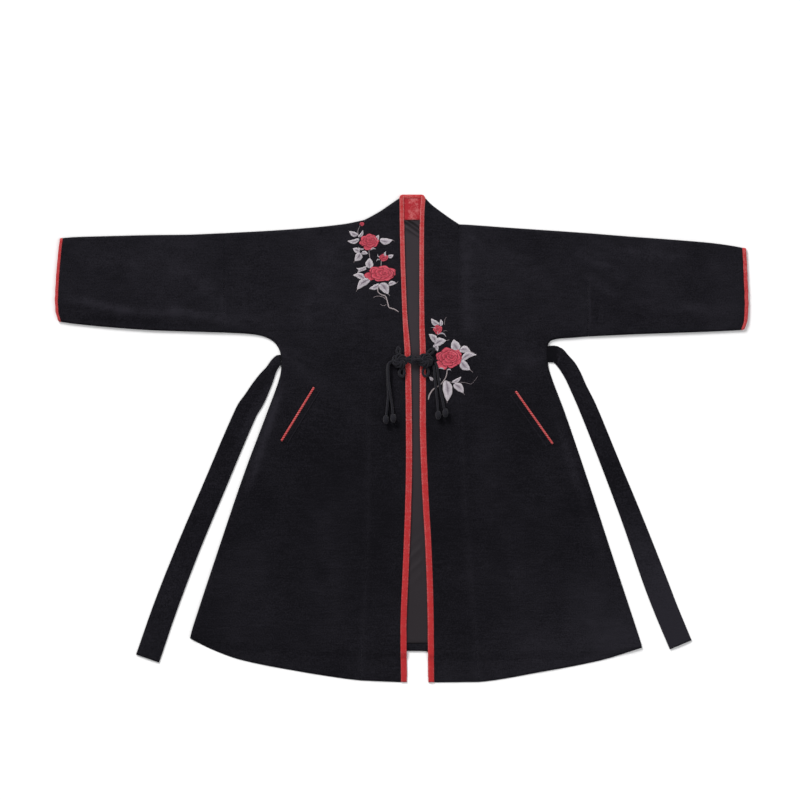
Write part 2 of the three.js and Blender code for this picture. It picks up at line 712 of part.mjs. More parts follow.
function addFront(name, side) {
  const seamOut = side.sleeveSeam - SEAM_GAP / 2;
  const bandOut = read(side.bandSeam, "drop", "out");
  const hemDrop = read(side.hem, "out", "drop");
  const shoulder = curveOf(side.shoulder);
  const outer = curveOf(side.underarm);
  const shares = underarmShares(side);

  // The two rolled edges: along the shoulder, and under the arm down to the hem.
  const columnOuts = [
    ...BODY_COLUMNS.map((s) => lerp(bandOut(60) + SEAM_GAP, side.underarmCorner.out, s)),
    ...SLEEVE_COLUMNS.slice(1).map((s) => lerp(side.underarmCorner.out, seamOut, s)),
  ];
  const shoulderEdge = edgeAt(
    shoulder,
    columnOuts.map((out) => shareAtOut(shoulder, out)),
  ).map((edge) => ({ ...edge, inward: new THREE.Vector2(0, 1) }));
  const armEdge = edgeAt(outer, shares.sleeve);
  const sideEdge = edgeAt(outer, shares.skirt);
  armEdge[0].inward.set(0, -1);

  const inner = ({ point, inward }) => ({
    out: point.x + inward.x * ROLL,
    drop: point.y + inward.y * ROLL,
  });
  const chestEnds = columnOuts.map((_, c) => {
    if (c >= BODY_COLUMNS.length - 1)
      return inner(armEdge[SLEEVE_COLUMNS.length - 1 - (c - BODY_COLUMNS.length + 1)]);
    const bandDrop = side.underarmCorner.drop + 6;
    const start = { out: bandOut(bandDrop) + SEAM_GAP, drop: bandDrop };
    return between(start, inner(sideEdge[0]), BODY_COLUMNS[c]);
  });
  const point = ({ out, drop }) => frontPoint(side, out, drop);
  const chest = CHEST_ROWS.map((s) =>
    columnOuts.map((_, c) => point(between(inner(shoulderEdge[c]), chestEnds[c], s))),
  );

  // The skirt of the front, down to where the back ends, and past it to the hem.
  const bandStart = side.underarmCorner.drop + 6;
  const lastOuter = inner(sideEdge.at(-1));
  const endRow = BODY_COLUMNS.map((s) => {
    const out = lerp(bandOut(backHem(side, 110)) + SEAM_GAP, lastOuter.out, s);
    return { out, drop: backHem(side, out) + 4 };
  });
  endRow[endRow.length - 1] = lastOuter;
  const rowEnds = SKIRT_ROWS.map((s, r) => {
    const drop = lerp(bandStart, endRow[0].drop, s ** 1.15);
    return [{ out: bandOut(drop) + SEAM_GAP, drop }, inner(sideEdge[r])];
  });
  const skirtAt = (r, c) => {
    if (r === SKIRT_ROWS.length - 1) return endRow[c];
    const [a, b] = rowEnds[r];
    const straight = between(a, b, BODY_COLUMNS[c]);
    const sag = endRow[c].drop - between(endRow[0], lastOuter, BODY_COLUMNS[c]).drop;
    return { out: straight.out, drop: straight.drop + sag * SKIRT_ROWS[r] ** 2 };
  };
  const skirt = SKIRT_ROWS.map((_, r) => BODY_COLUMNS.map((_, c) => point(skirtAt(r, c))));
  const hemAt = (share, c) => {
    const start = endRow[c];
    const bandEnd = bandOut(hemDrop(start.out)) + SEAM_GAP;
    const out = lerp(start.out, lerp(bandEnd, lastOuter.out, BODY_COLUMNS[c]), share);
    const drop = lerp(start.drop, Math.max(hemDrop(out), start.drop + 2), share);
    return frontPoint(side, out, drop, share === 1 ? FRONT_WALL * 0.7 : FRONT_WALL);
  };
  const hem = HEM_ROWS.map((share) => BODY_COLUMNS.map((_, c) => hemAt(share, c)));

  // Below the side's last row the rolled edge runs on to the corner of the hem.
  const hemCorner = hem.map((row) => row.at(-1));
  const roll = rollStrip(side, sideEdge);
  const cornerRoll = hemCorner.map((end, r) => [
    end,
    ...ROLL_LINES.map((line, i) => {
      const start = roll[i + 1].at(-1);
      const down = end.y - hemCorner[0].y;
      return { ...start, y: start.y + down, x: start.x + side.sign * HEM_ROWS[r] * 1.5 };
    }),
  ]);
  const patches = [
    chest,
    skirt,
    hem,
    rollStrip(side, shoulderEdge),
    rollStrip(side, armEdge),
    roll,
    cornerRoll,
  ];
  add(name, wall(patches), VELVET);
  return heightOn(patches);
}

// The height of a panel's upper face at a place, read off its flat facets.
function heightOn(patches) {
  const facets = patches.flatMap((rows) =>
    rows.slice(1).flatMap((row, r) =>
      row.slice(1).flatMap((e, c) => {
        const [a, b, d] = [rows[r][c], rows[r][c + 1], row[c]];
        return [
          [a, b, e],
          [a, e, d],
        ];
      }),
    ),
  );
  return ({ x, y }) => {
    for (const [a, b, c] of facets) {
      const area = (b.x - a.x) * (c.y - a.y) - (c.x - a.x) * (b.y - a.y);
      const toB = ((x - a.x) * (c.y - a.y) - (c.x - a.x) * (y - a.y)) / area;
      const toC = ((b.x - a.x) * (y - a.y) - (x - a.x) * (b.y - a.y)) / area;
      if (toB >= 0 && toC >= 0 && toB + toC <= 1)
        return a.top + toB * (b.top - a.top) + toC * (c.top - a.top);
    }
    return FRONT_TOP;
  };
}

// The band that is sewn along each front and rises round the neck as the collar.
function addBand(name, side) {
  const bandOut = read(side.bandSeam, "drop", "out");
  const edgeOut = read(side.frontEdge, "drop", "out");
  const hemDrop = read(side.hem, "out", "drop");
  const slope = edgeAt(curveOf(side.collar), COLLAR_ROWS);
  const neckRows = [24, 46, 74, 106];
  const columns = steps(3);
  const row = (outer, innerDrop) => {
    const inner = { out: edgeOut(innerDrop) + SEAM_GAP, drop: innerDrop };
    return columns.map((s) => {
      const p = between(inner, outer, s);
      return frontPoint(side, p.out, p.drop);
    });
  };
  const neck = slope.map(({ point, inward }, i) =>
    row({ out: point.x + inward.x * ROLL, drop: point.y + inward.y * ROLL }, neckRows[i]),
  );
  const corner = side.collar.at(-1);
  const seamStart = corner.drop + 14;
  const seamRows = steps(16).map((s) => {
    const outer = lerp(seamStart, backHem(side, 60) + 4, s);
    const inner = lerp(neckRows.at(-1) + 12, backHem(side, 20) + 4, s);
    return row({ out: bandOut(outer) - SEAM_GAP, drop: outer }, inner);
  });
  const hemRows = HEM_ROWS.slice(1).map((share) =>
    columns.map((s, c) => {
      const start = seamRows.at(-1)[c];
      const out = (start.x - CENTRE_X) * side.sign;
      const drop = TOP_Y - start.y;
      const low = hemDrop(out);
      const endOut = lerp(edgeOut(low) + SEAM_GAP, bandOut(low) - SEAM_GAP, s);
      const thickness = share === 1 ? FRONT_WALL * 0.7 : FRONT_WALL;
      return frontPoint(side, lerp(out, endOut, share), lerp(drop, low, share), thickness);
    }),
  );
  const patches = [[...neck, ...seamRows, ...hemRows], rollStrip(side, slope)];
  add(name, wall(patches), VELVET);
}

// The red edge of a front: a soft half-round strip beside the band, up to the neck.
function frontBinding(side) {
  const edgeOut = read(side.frontEdge, "drop", "out");
  const hem = read(side.hem, "out", "drop")(edgeOut(LENGTH));
  const drops = [
    ...steps(3).map((s) => lerp(3, 40, s)),
    ...steps(18).map((s) => lerp(80, backHem(side, 20) + 4, s)),
    ...HEM_ROWS.slice(1, 5).map((s) => lerp(backHem(side, 20) + 4, hem, s)),
  ];
  const width = read(BINDING, "drop", "width");
  const high = FRONT_WALL + BINDING_STANDS;
  // A section: shares of the half width from the middle, and shares of the height.
  const section = [
    { across: -1, up: 0 },
    { across: 1, up: 0 },
    { across: 1, up: 0.6 },
    { across: 0.7, up: 0.92 },
    { across: 0, up: 1 },
    { across: -0.7, up: 0.92 },
    { across: -1, up: 0.6 },
  ];
  const rings = drops.map((drop) => {
    const half = width(drop) / 2;
    return section.map(({ across, up }) => {
      const out = edgeOut(drop) - half + across * half;
      const place = flat(side, out, drop);
      return [place.x, place.y, frontUnder(side, Math.max(out, 0), drop) + up * high];
    });
  });
  return loft(rings);
}

// The binding is one strip: up the right front, round the neck and down the left front.
function addBinding() {
  const strips = [frontBinding(SIDES.right), neckBinding(), frontBinding(SIDES.left)];
  add("edge_binding", joined(strips), RED_VELVET);
}

// ---------- sleeves ----------
// The roll of a sleeve at its folded edges: how far in from the edge the outer and inner faces
// are, and how far each has spread from the line of the fold to where it lies flat.
const SLEEVE_ROLL = [
  { outer: 0, inner: 2.6, spread: 0 },
  { outer: 1.2, inner: 2.9, spread: 0.62 },
  { outer: 3.5, inner: 4.2, spread: 0.94 },
  { outer: ROLL, inner: ROLL, spread: 1 },
];
const FOLD_Z = FRONT_TOP * 0.48;

// One ring of a sleeve: the cloth goes over the top, round the lower edge and back underneath.
function sleeveRing(side, out, topDrop, bottomDrop, bow) {
  const width = bottomDrop - topDrop;
  const flatPart = steps(6)
    .slice(1, -1)
    .map((s) => lerp(ROLL, width - ROLL, s))
    .map((across) => ({ outer: across, inner: across, spread: 1 }));
  const lowerRoll = SLEEVE_ROLL.map(({ outer, inner, spread }) => ({
    outer: width - outer,
    inner: width - inner,
    spread,
  })).reverse();
  const section = [...SLEEVE_ROLL, ...flatPart, ...lowerRoll];
  const face = (key, flatZ, folds) =>
    section.map((point) => {
      const across = point[key];
      const fromMiddle = (2 * across) / width - 1;
      const place = flat(side, out + bow * (1 - fromMiddle ** 2), topDrop + across);
      const fold = folds * foldHeight(side, out, topDrop + across);
      return [place.x, place.y, lerp(FOLD_Z, flatZ + fold, point.spread)];
    });
  const underneath = (points) => points.slice(1, -1).reverse();
  return {
    outer: [...face("outer", FRONT_TOP, 1), ...underneath(face("outer", 0, 0))],
    inner: [...face("inner", FRONT_BOTTOM, 1), ...underneath(face("inner", BACK_WALL, 0))],
  };
}

function addSleeve(name, cuffName, side) {
  const column = (value) => read(side.sleeve, "out", value);
  const [top, bottom, bow] = [column("top"), column("bottom"), column("bow")];
  const start = side.sleeveSeam + SEAM_GAP / 2;
  const end = side.sleeve.at(-1).out;
  const ring = (out) => sleeveRing(side, out, top(out), bottom(out), bow(out));
  const stations = [...steps(9).map((s) => lerp(start, end - 14, s)), end];
  add(name, tubeOf(stations.map(ring)), VELVET);

  // The red binding goes on past the sleeve's end, and its corners are eased in.
  const cuff = [0, 0.5, 0.85, 1].map((s) => {
    const out = end + SEAM_GAP + s * CUFF_BINDING;
    const eased = s ** 3;
    const bowed = bow(end) + eased * 3;
    return sleeveRing(side, out, top(end) + eased, bottom(end) - 2.5 * eased, bowed);
  });
  add(cuffName, tubeOf(cuff), RED_VELVET);
}

// ---------- ties and pockets ----------
// A flat double band of velvet on the surface, sewn into the side seam at the waist.
function addTie(name, side) {
  const points = side.tie;
  const route = curveOf(points);
  const shares = points.map((p) => shareNearest(route, p));
  const sizes = points.map((p, i) => ({ share: shares[i], ...p }));
  const width = read(sizes, "share", "width");
  const height = read(sizes, "share", "height");
  const across = [-1, -0.86, 0, 0.86, 1];
  const rows = steps(18).map((share) => {
    const p = route.getPointAt(share);
    const along = route.getTangentAt(share);
    return across.map((a) => {
      const half = (a * width(share)) / 2;
      const place = flat(side, p.x - along.y * half, p.y + along.x * half);
      const lift = Math.max(0, height(share) - TIE_WALL - 0.4) * (1 - a * a);
      const edge = Math.abs(a) === 1 ? 0.55 : 1;
      return { ...place, top: lift + TIE_WALL * edge, bottom: lift };
    });
  });
  add(name, wall([rows]), VELVET);
}

// A slanting pocket: a black welt on the front with a red piping along its open edge.
function addPocket(name, side, frontHeight) {
  const { top, bottom } = side.pocket;
  const length = Math.hypot(bottom.out - top.out, bottom.drop - top.drop);
  const along = { out: (bottom.out - top.out) / length, drop: (bottom.drop - top.drop) / length };
  const inward = { out: -along.drop, drop: along.out };
  const strip = ({ from, to, thickness, shortAtEnds }) =>
    steps(8).map((s) => {
      const run = lerp(shortAtEnds, length - shortAtEnds, s);
      return steps(2).map((t) => {
        const off = lerp(from, to, t);
        const out = top.out + along.out * run + inward.out * off;
        const drop = top.drop + along.drop * run + inward.drop * off;
        const place = flat(side, out, drop);
        const lift = frontHeight(place) + 1.5 * SEAM_GAP;
        return { ...place, top: lift + thickness, bottom: lift };
      });
    });
  add(`pocket_welt_${name}`, wall([strip(WELT)]), VELVET);
  add(`pocket_piping_${name}`, wall([strip(PIPING)]), RED_VELVET);
}

// ---------- the frog ----------
const WEAVE = 0.6 * CORD; // how far a knot's cord rises and dips where it crosses itself
const KNOT_Z = FRONT_TOP + BINDING_STANDS + SEAM_GAP + WEAVE + CORD / 2;
const place3 = (side, { out, drop }, z) => {
  const p = flat(side, out, drop);
  return new THREE.Vector3(p.x, p.y, z);
};

// A flat woven knot of one cord: it goes three times round while it weaves in and out.
function wovenKnot(side, centre) {
  const [turns, bights, wide, high] = [3, 5, 16.5, 14.5];
  const middle = place3(side, centre, KNOT_Z);
  const first = THREE.MathUtils.degToRad(centre.turn);
  const route = steps(45)
    .slice(0, -1)
    .map((s) => {
      const angle = 2 * Math.PI * s;
      const reach = 0.55 + 0.31 * Math.cos(bights * angle);
      return new THREE.Vector3(
        middle.x + wide * reach * Math.cos(turns * angle + first),
        middle.y + high * reach * Math.sin(turns * angle + first),
        middle.z + WEAVE * Math.sin(bights * angle),
      );
    });
  return ringCord(route, CORD, 6);
}

// A closed round of cord along a loop of points.
function ringCord(route, diameter, sides) {
  const rings = route.map((p, i) => {
    const next = route[(i + 1) % route.length];
    const last = route[(i - 1 + route.length) % route.length];
    const along = next.clone().sub(last).normalize();
    const side = new THREE.Vector3(0, 0, 1).cross(along).normalize();
    const up = along.clone().cross(side);
    return steps(sides)
      .slice(0, -1)
      .map((s) => {
        const angle = 2 * Math.PI * s;
        return p
          .clone()
          .addScaledVector(side, (Math.cos(angle) * diameter) / 2)
          .addScaledVector(up, (Math.sin(angle) * diameter) / 2)
          .toArray();
      });
  });
  const size = sides;
  const faces = [];
  rings.forEach((_, r) => {
    const on = ((r + 1) % rings.length) * size;
    for (let i = 0; i < size; i++) {
      const [a, b] = [i, (i + 1) % size];
      faces.push([r * size + a, r * size + b, on + b], [r * size + a, on + b, on + a]);
    }
  });
  return facingOut(geometryOf(rings.flat(), faces));
}

// A small loop of cord that stands out of a knot, longer than it is wide.
function loopCord(side, centre, wide, high, tilt) {
  const middle = place3(side, centre, KNOT_Z - CORD / 2);
  const route = steps(11)
    .slice(0, -1)
    .map((s) => {
      const angle = 2 * Math.PI * s;
      const [x, y] = [(wide / 2) * Math.cos(angle), (high / 2) * Math.sin(angle)];
      return new THREE.Vector3(
        middle.x + x * Math.cos(tilt) - y * Math.sin(tilt),
        middle.y + x * Math.sin(tilt) + y * Math.cos(tilt),
        middle.z,
      );
    });
  return ringCord(route, CORD, 6);
}

const ballKnot = (centre, diameter) =>
  new THREE.SphereGeometry(diameter / 2, 10, 7).translate(centre.x, centre.y, centre.z);

function addFrog() {
  const { right, left } = SIDES;
  const buttonAt = new THREE.Vector3(CENTRE_X - 1, TOP_Y - 337.5, KNOT_Z);
  const ballSize = 12.5;
  const loopReach = ballSize / 2 + SEAM_GAP + CORD / 2;
  const loopEnd = place3(right, { out: right.knot.out - 8, drop: right.knot.drop - 1 }, KNOT_Z);
  const catchLoop = cordAlong(
    [
      new THREE.Vector3(loopEnd.x, loopEnd.y + 3, KNOT_Z),
      new THREE.Vector3(buttonAt.x - 7, buttonAt.y + loopReach - 1.5, KNOT_Z),
      new THREE.Vector3(buttonAt.x, buttonAt.y + loopReach, KNOT_Z),
      new THREE.Vector3(buttonAt.x + loopReach * 0.72, buttonAt.y + loopReach * 0.72, KNOT_Z),
      new THREE.Vector3(buttonAt.x + loopReach, buttonAt.y, KNOT_Z),
      new THREE.Vector3(buttonAt.x + loopReach * 0.72, buttonAt.y - loopReach * 0.72, KNOT_Z),
      new THREE.Vector3(buttonAt.x, buttonAt.y - loopReach, KNOT_Z),
      new THREE.Vector3(buttonAt.x - 7, buttonAt.y - loopReach + 1.5, KNOT_Z),
      new THREE.Vector3(loopEnd.x, loopEnd.y - 3, KNOT_Z),
    ],
    CORD,
    6,
    18,
  );
  // The button's own cord comes over the catch loop and down into the left knot.
  const shank = cordAlong(
    [
      new THREE.Vector3(buttonAt.x, buttonAt.y, KNOT_Z + 3.5),
      new THREE.Vector3(buttonAt.x + 4, buttonAt.y, KNOT_Z + CORD + 1.6),
      new THREE.Vector3(buttonAt.x + 10, buttonAt.y, KNOT_Z + CORD + 1.4),
      new THREE.Vector3(buttonAt.x + 17, buttonAt.y - 1, KNOT_Z + CORD / 2),
    ],
    CORD,
    6,
    7,
  );
  const knotParts = (side) => [
    wovenKnot(side, side.knot),
    loopCord(side, side.ear, 8.5, 15, side.ear.tilt),
    loopCord(side, side.ring, 10.5, 19, 0),
  ];
  add("frog_loop_right", joined([...knotParts(right), catchLoop]), CORD_BLACK);
  const button = [shank, ballKnot(buttonAt, ballSize)];
  add("frog_button_left", joined([...knotParts(left), ...button]), CORD_BLACK);

  for (const [name, side] of Object.entries(SIDES))
    side.tails.forEach(({ route, knot }, i) => {
      const surface = (p) => frontUnder(side, p.out, p.drop) + FRONT_WALL + SEAM_GAP;
      const points = route.map((p) => place3(side, p, surface(p) + CORD / 2 + p.lift));
      add(`frog_tail_${name}_${i + 1}`, cordAlong(points, CORD, 8, 12), CORD_BLACK);
      const ball = place3(side, knot, surface(knot) + END_KNOT / 2 + 0.3);
      add(`frog_end_knot_${name}_${i + 1}`, ballKnot(ball, END_KNOT), CORD_BLACK);
    });
}

// ---------- the coat ----------
addBack();
addCollarBack();
addLining();
addBinding();
for (const [name, side] of Object.entries(SIDES)) {
  const frontHeight = addFront(`front_${name}`, side);
  addBand(`band_${name}`, side);
  addSleeve(`sleeve_${name}`, `cuff_binding_${name}`, side);
  addTie(`side_tie_${name}`, side);
  addPocket(name, side, frontHeight);
}
addFrog();

export default coat;
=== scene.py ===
"""A long open-front hanfu coat in black velvet, laid flat on a pale studio floor.

The cut is drawn as a tailor draws it, in millimetres: "out" is a distance sideways from the
centre front, and "drop" a distance down from the top of the collar. Meshes are in metres, with
the coat's back on Z = 0 and its collar towards +Y.
"""

import math

import bmesh
import bpy
import numpy as np
from bpy.props import FloatProperty, FloatVectorProperty, PointerProperty
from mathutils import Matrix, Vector, noise


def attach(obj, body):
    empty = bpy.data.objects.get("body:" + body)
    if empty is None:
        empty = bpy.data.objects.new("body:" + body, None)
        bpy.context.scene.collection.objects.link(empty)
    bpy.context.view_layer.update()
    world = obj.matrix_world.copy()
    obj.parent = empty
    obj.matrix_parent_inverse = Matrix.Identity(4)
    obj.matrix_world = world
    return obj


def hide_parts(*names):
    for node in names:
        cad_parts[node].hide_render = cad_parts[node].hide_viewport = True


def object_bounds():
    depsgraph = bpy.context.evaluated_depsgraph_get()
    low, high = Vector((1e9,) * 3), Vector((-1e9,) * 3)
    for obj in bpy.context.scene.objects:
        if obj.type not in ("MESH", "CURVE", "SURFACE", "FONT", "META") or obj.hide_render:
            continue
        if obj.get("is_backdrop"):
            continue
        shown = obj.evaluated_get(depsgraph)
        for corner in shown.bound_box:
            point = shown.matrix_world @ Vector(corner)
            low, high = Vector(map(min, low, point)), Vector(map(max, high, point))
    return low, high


bl_info = {
    "name": "Laid-Out Velvet Coat",
    "version": (1, 0, 0),
    "blender": (4, 5, 0),
    "location": "View3D > Sidebar > Coat",
    "description": "Makes an open-front hanfu coat of black velvet, laid out flat",
    "category": "Add Mesh",
}

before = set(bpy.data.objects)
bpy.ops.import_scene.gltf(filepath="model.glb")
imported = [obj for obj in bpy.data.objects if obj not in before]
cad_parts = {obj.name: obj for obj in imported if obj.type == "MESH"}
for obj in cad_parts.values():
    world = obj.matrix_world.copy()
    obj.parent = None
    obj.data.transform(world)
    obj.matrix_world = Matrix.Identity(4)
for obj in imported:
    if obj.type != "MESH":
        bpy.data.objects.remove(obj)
CAD_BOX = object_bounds()

MM = 0.001
CENTRE_X = 24.0
TOP_Y = 500.5

# Heights in the stack of cloth, in millimetres above the surface that the coat lies on.
BACK_TOP = 2.2
LINING_BOTTOM = 2.5
FRONT_BOTTOM = 3.6
FRONT_WALL = 2.4
FRONT_TOP = FRONT_BOTTOM + FRONT_WALL
GAP = 0.3
SEAM = 0.1
BINDING_STANDS = 0.8

ROLL = 7.0  # the edges of the fronts bend down to the surface in this width
BACK_CLOTH = BACK_TOP - 0.1
FRONT_CLOTH = FRONT_WALL - 0.2
SLEEVE_CLOTH = FRONT_WALL - 0.3
LINING_CLOTH = 0.7
HEM_FOLD_CLOTH = 0.9
FACING_CLOTH = 1.2
EDGE_STEPS = (0.0, 0.5, 1.2, 2.2, 3.6, 5.2)  # cells get wider inwards from an edge
CLEARANCE = 0.05  # between the lowest cloth and the surface
BACK_INSET = 3.6
BACK_HEM_DROP = 935.0
LINING_DROP = 920.0
FACING_DROP = 52.0
NECK_SEAM_DROP = 56.0
FLOOR_REACH = 16.0
NECK_BINDING = 8.0
NECK_ROUND = 8.5  # radius of the neck binding's two lower corners
BAND_TOP = 9.0
BAND_WIDTH = 75  # the usual width of a front band, which spaces its mesh
HEM_DROP = 1000.0
HEM_CORNER = 990  # where the side of a band is read for its lower corner
CUFF_EASE = 10  # how much wider a sleeve is cut than its cuff
LINING_REACH = {"right": 45, "left": 60}
BINDING_WIDTH = [(0, 8.8), (240, 9.4), (320, 11.8), (1001, 12.2)]

# How fine the meshes are: the sizes of cells, then the numbers of cells along and across.
BACK_CELL = 0.02  # metres
COLLAR_CELL = 0.012  # metres
FRONT_EDGE_CELL = 6.5  # millimetres
SHOULDER_CELLS = 24
SIDE_CELLS = 80
BACK_HEM_CELLS = 40
FRONT_TOP_CELLS = 44
FRONT_HEM_CELLS = 54
FRONT_SEAM_CELLS = 90
ARMHOLE_CELLS = 30
BAND_SLOPE_CELLS = 28
BAND_CELLS = (170, 12)
BINDING_CELLS = 520
NECK_CELLS = 40
HEM_FOLD_CELLS = (6, 30)
COLLAR_LINING_CELLS = 48
LINING_CELLS = (260, 56)
FACING_CELLS = (44, 60)
SLEEVE_CELLS = (54, 30)
TIE_CELLS = 150
POCKET_CELLS = 130
TAIL_CELLS = 40

# The cut of each half, as (out, drop) or as the columns that each comment names.
SIDES = {
    "right": {
        "name": "right",
        "sign": -1,
        "sleeve_seam": 387,
        "hem_rise": 31,
        "collar": [(29, 8), (48, 21), (67, 34), (88, 46), (100, 52)],
        "shoulder": [(100, 52), (139, 60), (211, 68), (293, 74), (387, 79)],
        "underarm": [
            (387, 283), (334, 286), (306, 291), (285, 302), (273, 321), (270, 345),
            (273, 374), (298, 444), (345, 569), (400, 731), (452, 889), (457, 909),
        ],
        "corner_drop": 302,
        "hem": [(15, 1000), (108, 996), (231, 978), (354, 953.5), (412, 932.5), (457, 910)],
        # drop, out
        "band_seam": [(52, 99), (226, 93), (667, 93), (850, 101), (1000, 108)],
        "front_edge": [
            (0, 27.5), (56, 27), (134, 25.5), (257, 21), (340, 16.5), (544, 14.3),
            (667, 17), (790, 22), (880, 25.5), (1001, 24.5),
        ],
        # out, top, bottom, bow
        "sleeve": [
            (387, 79, 283, 0), (457, 82, 281, 0), (539, 83, 278, 1), (621, 85, 272, 3),
            (690, 87, 265, 5), (714, 89, 261, 10),
        ],
        "cuff_wide": 1.0,
        # place down the cuff from -1 to 1, share of the bow
        "cuff": [(-1, 0.4), (-0.3, 1.0), (0.1, 1.22), (0.5, 1.38), (0.8, 1.2), (1, 0.76)],
        # out, drop, width, height
        "tie": [
            (270.6, 339, 22, 3.4), (275, 339.5, 22, 3.8), (283, 347, 21, 5.6),
            (291, 360, 23, 6), (300, 375, 31, 4.6), (312, 396, 38, 3.8), (326, 421, 43, 3.6),
            (342, 446, 45, 3.4), (410, 605, 46, 4),
            (457, 716, 47, 3.4), (505, 839, 49, 3.6), (544, 951, 50, 3.4),
        ],
        "pocket": ((203, 395), (270, 505)),
        # out, drop, turn in degrees
        "knot": (27.5, 341, 90),
        # out, drop, width, height, lean, pinch
        "loops": [(29.5, 320.5, 7.0, 15, 0.1, 0.5), (22.5, 364, 11, 18, 0, 0.4)],
        # out, drop, lift; then the end knot's out and drop
        "tails": [
            (
                [
                    (43.2, 344, 0), (49.5, 346.5, 0), (52.2, 353, 0), (52.4, 368, 0),
                    (51.2, 390, 0), (50.6, 411, 0), (52.3, 433, 0), (54.5, 454.2, 0),
                ],
                (55.4, 461),
            ),
            (
                [
                    (42.9, 342.2, 5.4), (48.5, 344.6, 5.4), (50.6, 352.5, 5.4),
                    (50.4, 368, 5.4), (49, 388, 5.2), (46.6, 405, 3.8), (44.4, 420, 0.8),
                    (42.2, 436, 0), (41, 451.7, 0),
                ],
                (40.3, 458.5),
            ),
        ],
    },
    "left": {
        "name": "left",
        "sign": 1,
        "sleeve_seam": 359,
        "hem_rise": 12,
        "collar": [(26, 8), (39, 21), (56, 34), (74, 47), (95, 61)],
        "shoulder": [(95, 61), (117, 62), (199, 68), (302, 75), (359, 79)],
        "underarm": [
            (359, 291), (322, 294), (297, 296), (281, 301), (276, 314), (276, 333),
            (280, 362), (311, 446), (361, 593), (413, 753), (466, 914), (470, 929),
        ],
        "corner_drop": 301,
        "hem": [(15, 1000), (138, 999), (261, 979), (384, 955), (470, 929)],
        "band_seam": [(52, 93), (288, 92), (544, 101), (770, 117), (1000, 136)],
        "front_edge": [
            (0, 26.5), (42, 23.5), (134, 22.8), (257, 23.6), (318, 26.4), (482, 27),
            (606, 31.6), (728, 38.4), (851, 42.4), (1001, 43.6),
        ],
        "sleeve": [
            (359, 79, 291, 0), (445, 86, 287, 0), (527, 92, 284, 0), (609, 99, 281, 1),
            (650, 105, 279, 5), (666, 109, 278, 10.5),
        ],
        "cuff_wide": 1.25,
        "cuff": [(-1, 0.89), (-0.2, 1.19), (0.4, 1.35), (0.8, 1.14), (1, 0.63)],
        "tie": [
            (275, 327.5, 33, 3.2), (288, 327, 35, 3.6), (296, 329, 34, 5.6),
            (305, 338, 32, 6.4), (318, 354, 34, 5), (328, 371, 34, 4), (339.5, 396.5, 33.5, 3.6),
            (358, 436, 36, 3.4),
            (402, 545, 38, 4.2), (450, 667, 43, 3.4), (495.5, 790, 49, 4),
            (518.5, 850, 49, 3.6), (549, 923, 48.5, 3.4),
        ],
        "pocket": ((211, 403), (287, 511)),
        "knot": (25.4, 339.8, 64),
        "loops": [(37, 321.5, 7.5, 18, -0.85, 0.5), (26, 363, 12, 19, 0, 0.4)],
        "tails": [
            (
                [
                    (41.6, 349.8, 0), (43.4, 358, 0), (45.5, 380, 0), (48, 404, 0),
                    (50.6, 428, 0), (51.8, 445.2, 0),
                ],
                (52, 452),
            ),
            (
                [
                    (46, 343.6, 0), (49.4, 353, 0), (52, 374, 0), (56, 398, 0),
                    (61, 423, 0), (64.9, 440.8, 0),
                ],
                (66.6, 447.5),
            ),
        ],
    },
}

# Soft folds, each a ridge: from (out, drop) to (out, drop), half width, height.
FOLDS = {
    "right": [
        (706, 214, 590, 240, 9, 3.2), (610, 238, 470, 246, 8, 2.6), (500, 236, 392, 256, 9, 2.4),
        (440, 256, 300, 262, 12, 1.6), (690, 128, 560, 150, 20, 1.6), (500, 150, 400, 205, 20, 2),
        (268, 392, 340, 610, 11, 3.4), (262, 322, 176, 408, 14, 1.5),
        (150, 110, 240, 290, 30, 1.4), (160, 560, 190, 940, 38, 0.6),
        (330, 700, 372, 930, 30, 0.7),
    ],
    "left": [
        (352, 170, 420, 212, 8, 1.5), (440, 226, 668, 246, 14, 1.0), (330, 118, 440, 170, 13, 1.6),
        (560, 130, 420, 120, 18, 1.8), (265, 322, 150, 392, 14, 1.3), (112, 76, 118, 300, 12, 1.8),
        (170, 110, 290, 190, 30, 1.2), (288, 430, 392, 760, 10, 1.2),
        (150, 480, 240, 930, 36, 0.6), (340, 760, 398, 940, 26, 0.7),
    ],
}
# Small creases on top of them.
CREASES = {
    "right": [
        (640, 232, 560, 240, 8, 1.2), (392, 200, 384, 275, 6, 1.6), (700, 250, 420, 272, 9, -1.4),
        (300, 300, 240, 345, 6, 1.3), (250, 330, 205, 360, 7, -0.8), (118, 70, 190, 150, 10, 1.0),
        (420, 92, 500, 108, 9, 0.8), (272, 410, 332, 600, 7, 1.8), (200, 640, 215, 800, 16, 0.4),
    ],
    "left": [
        (352, 160, 412, 204, 7, 0.9), (372, 214, 376, 266, 9, -1.2), (356, 92, 430, 120, 7, 1.2),
        (372, 122, 440, 132, 6, 0.9), (362, 186, 364, 266, 3, 2.0), (272, 330, 226, 360, 6, 1.2),
        (400, 240, 600, 262, 9, -0.5), (110, 72, 170, 140, 9, 1.0), (105, 70, 108, 300, 6, 1.0),
        (300, 480, 340, 610, 8, 1.0), (190, 690, 230, 860, 15, 0.4),
    ],
}


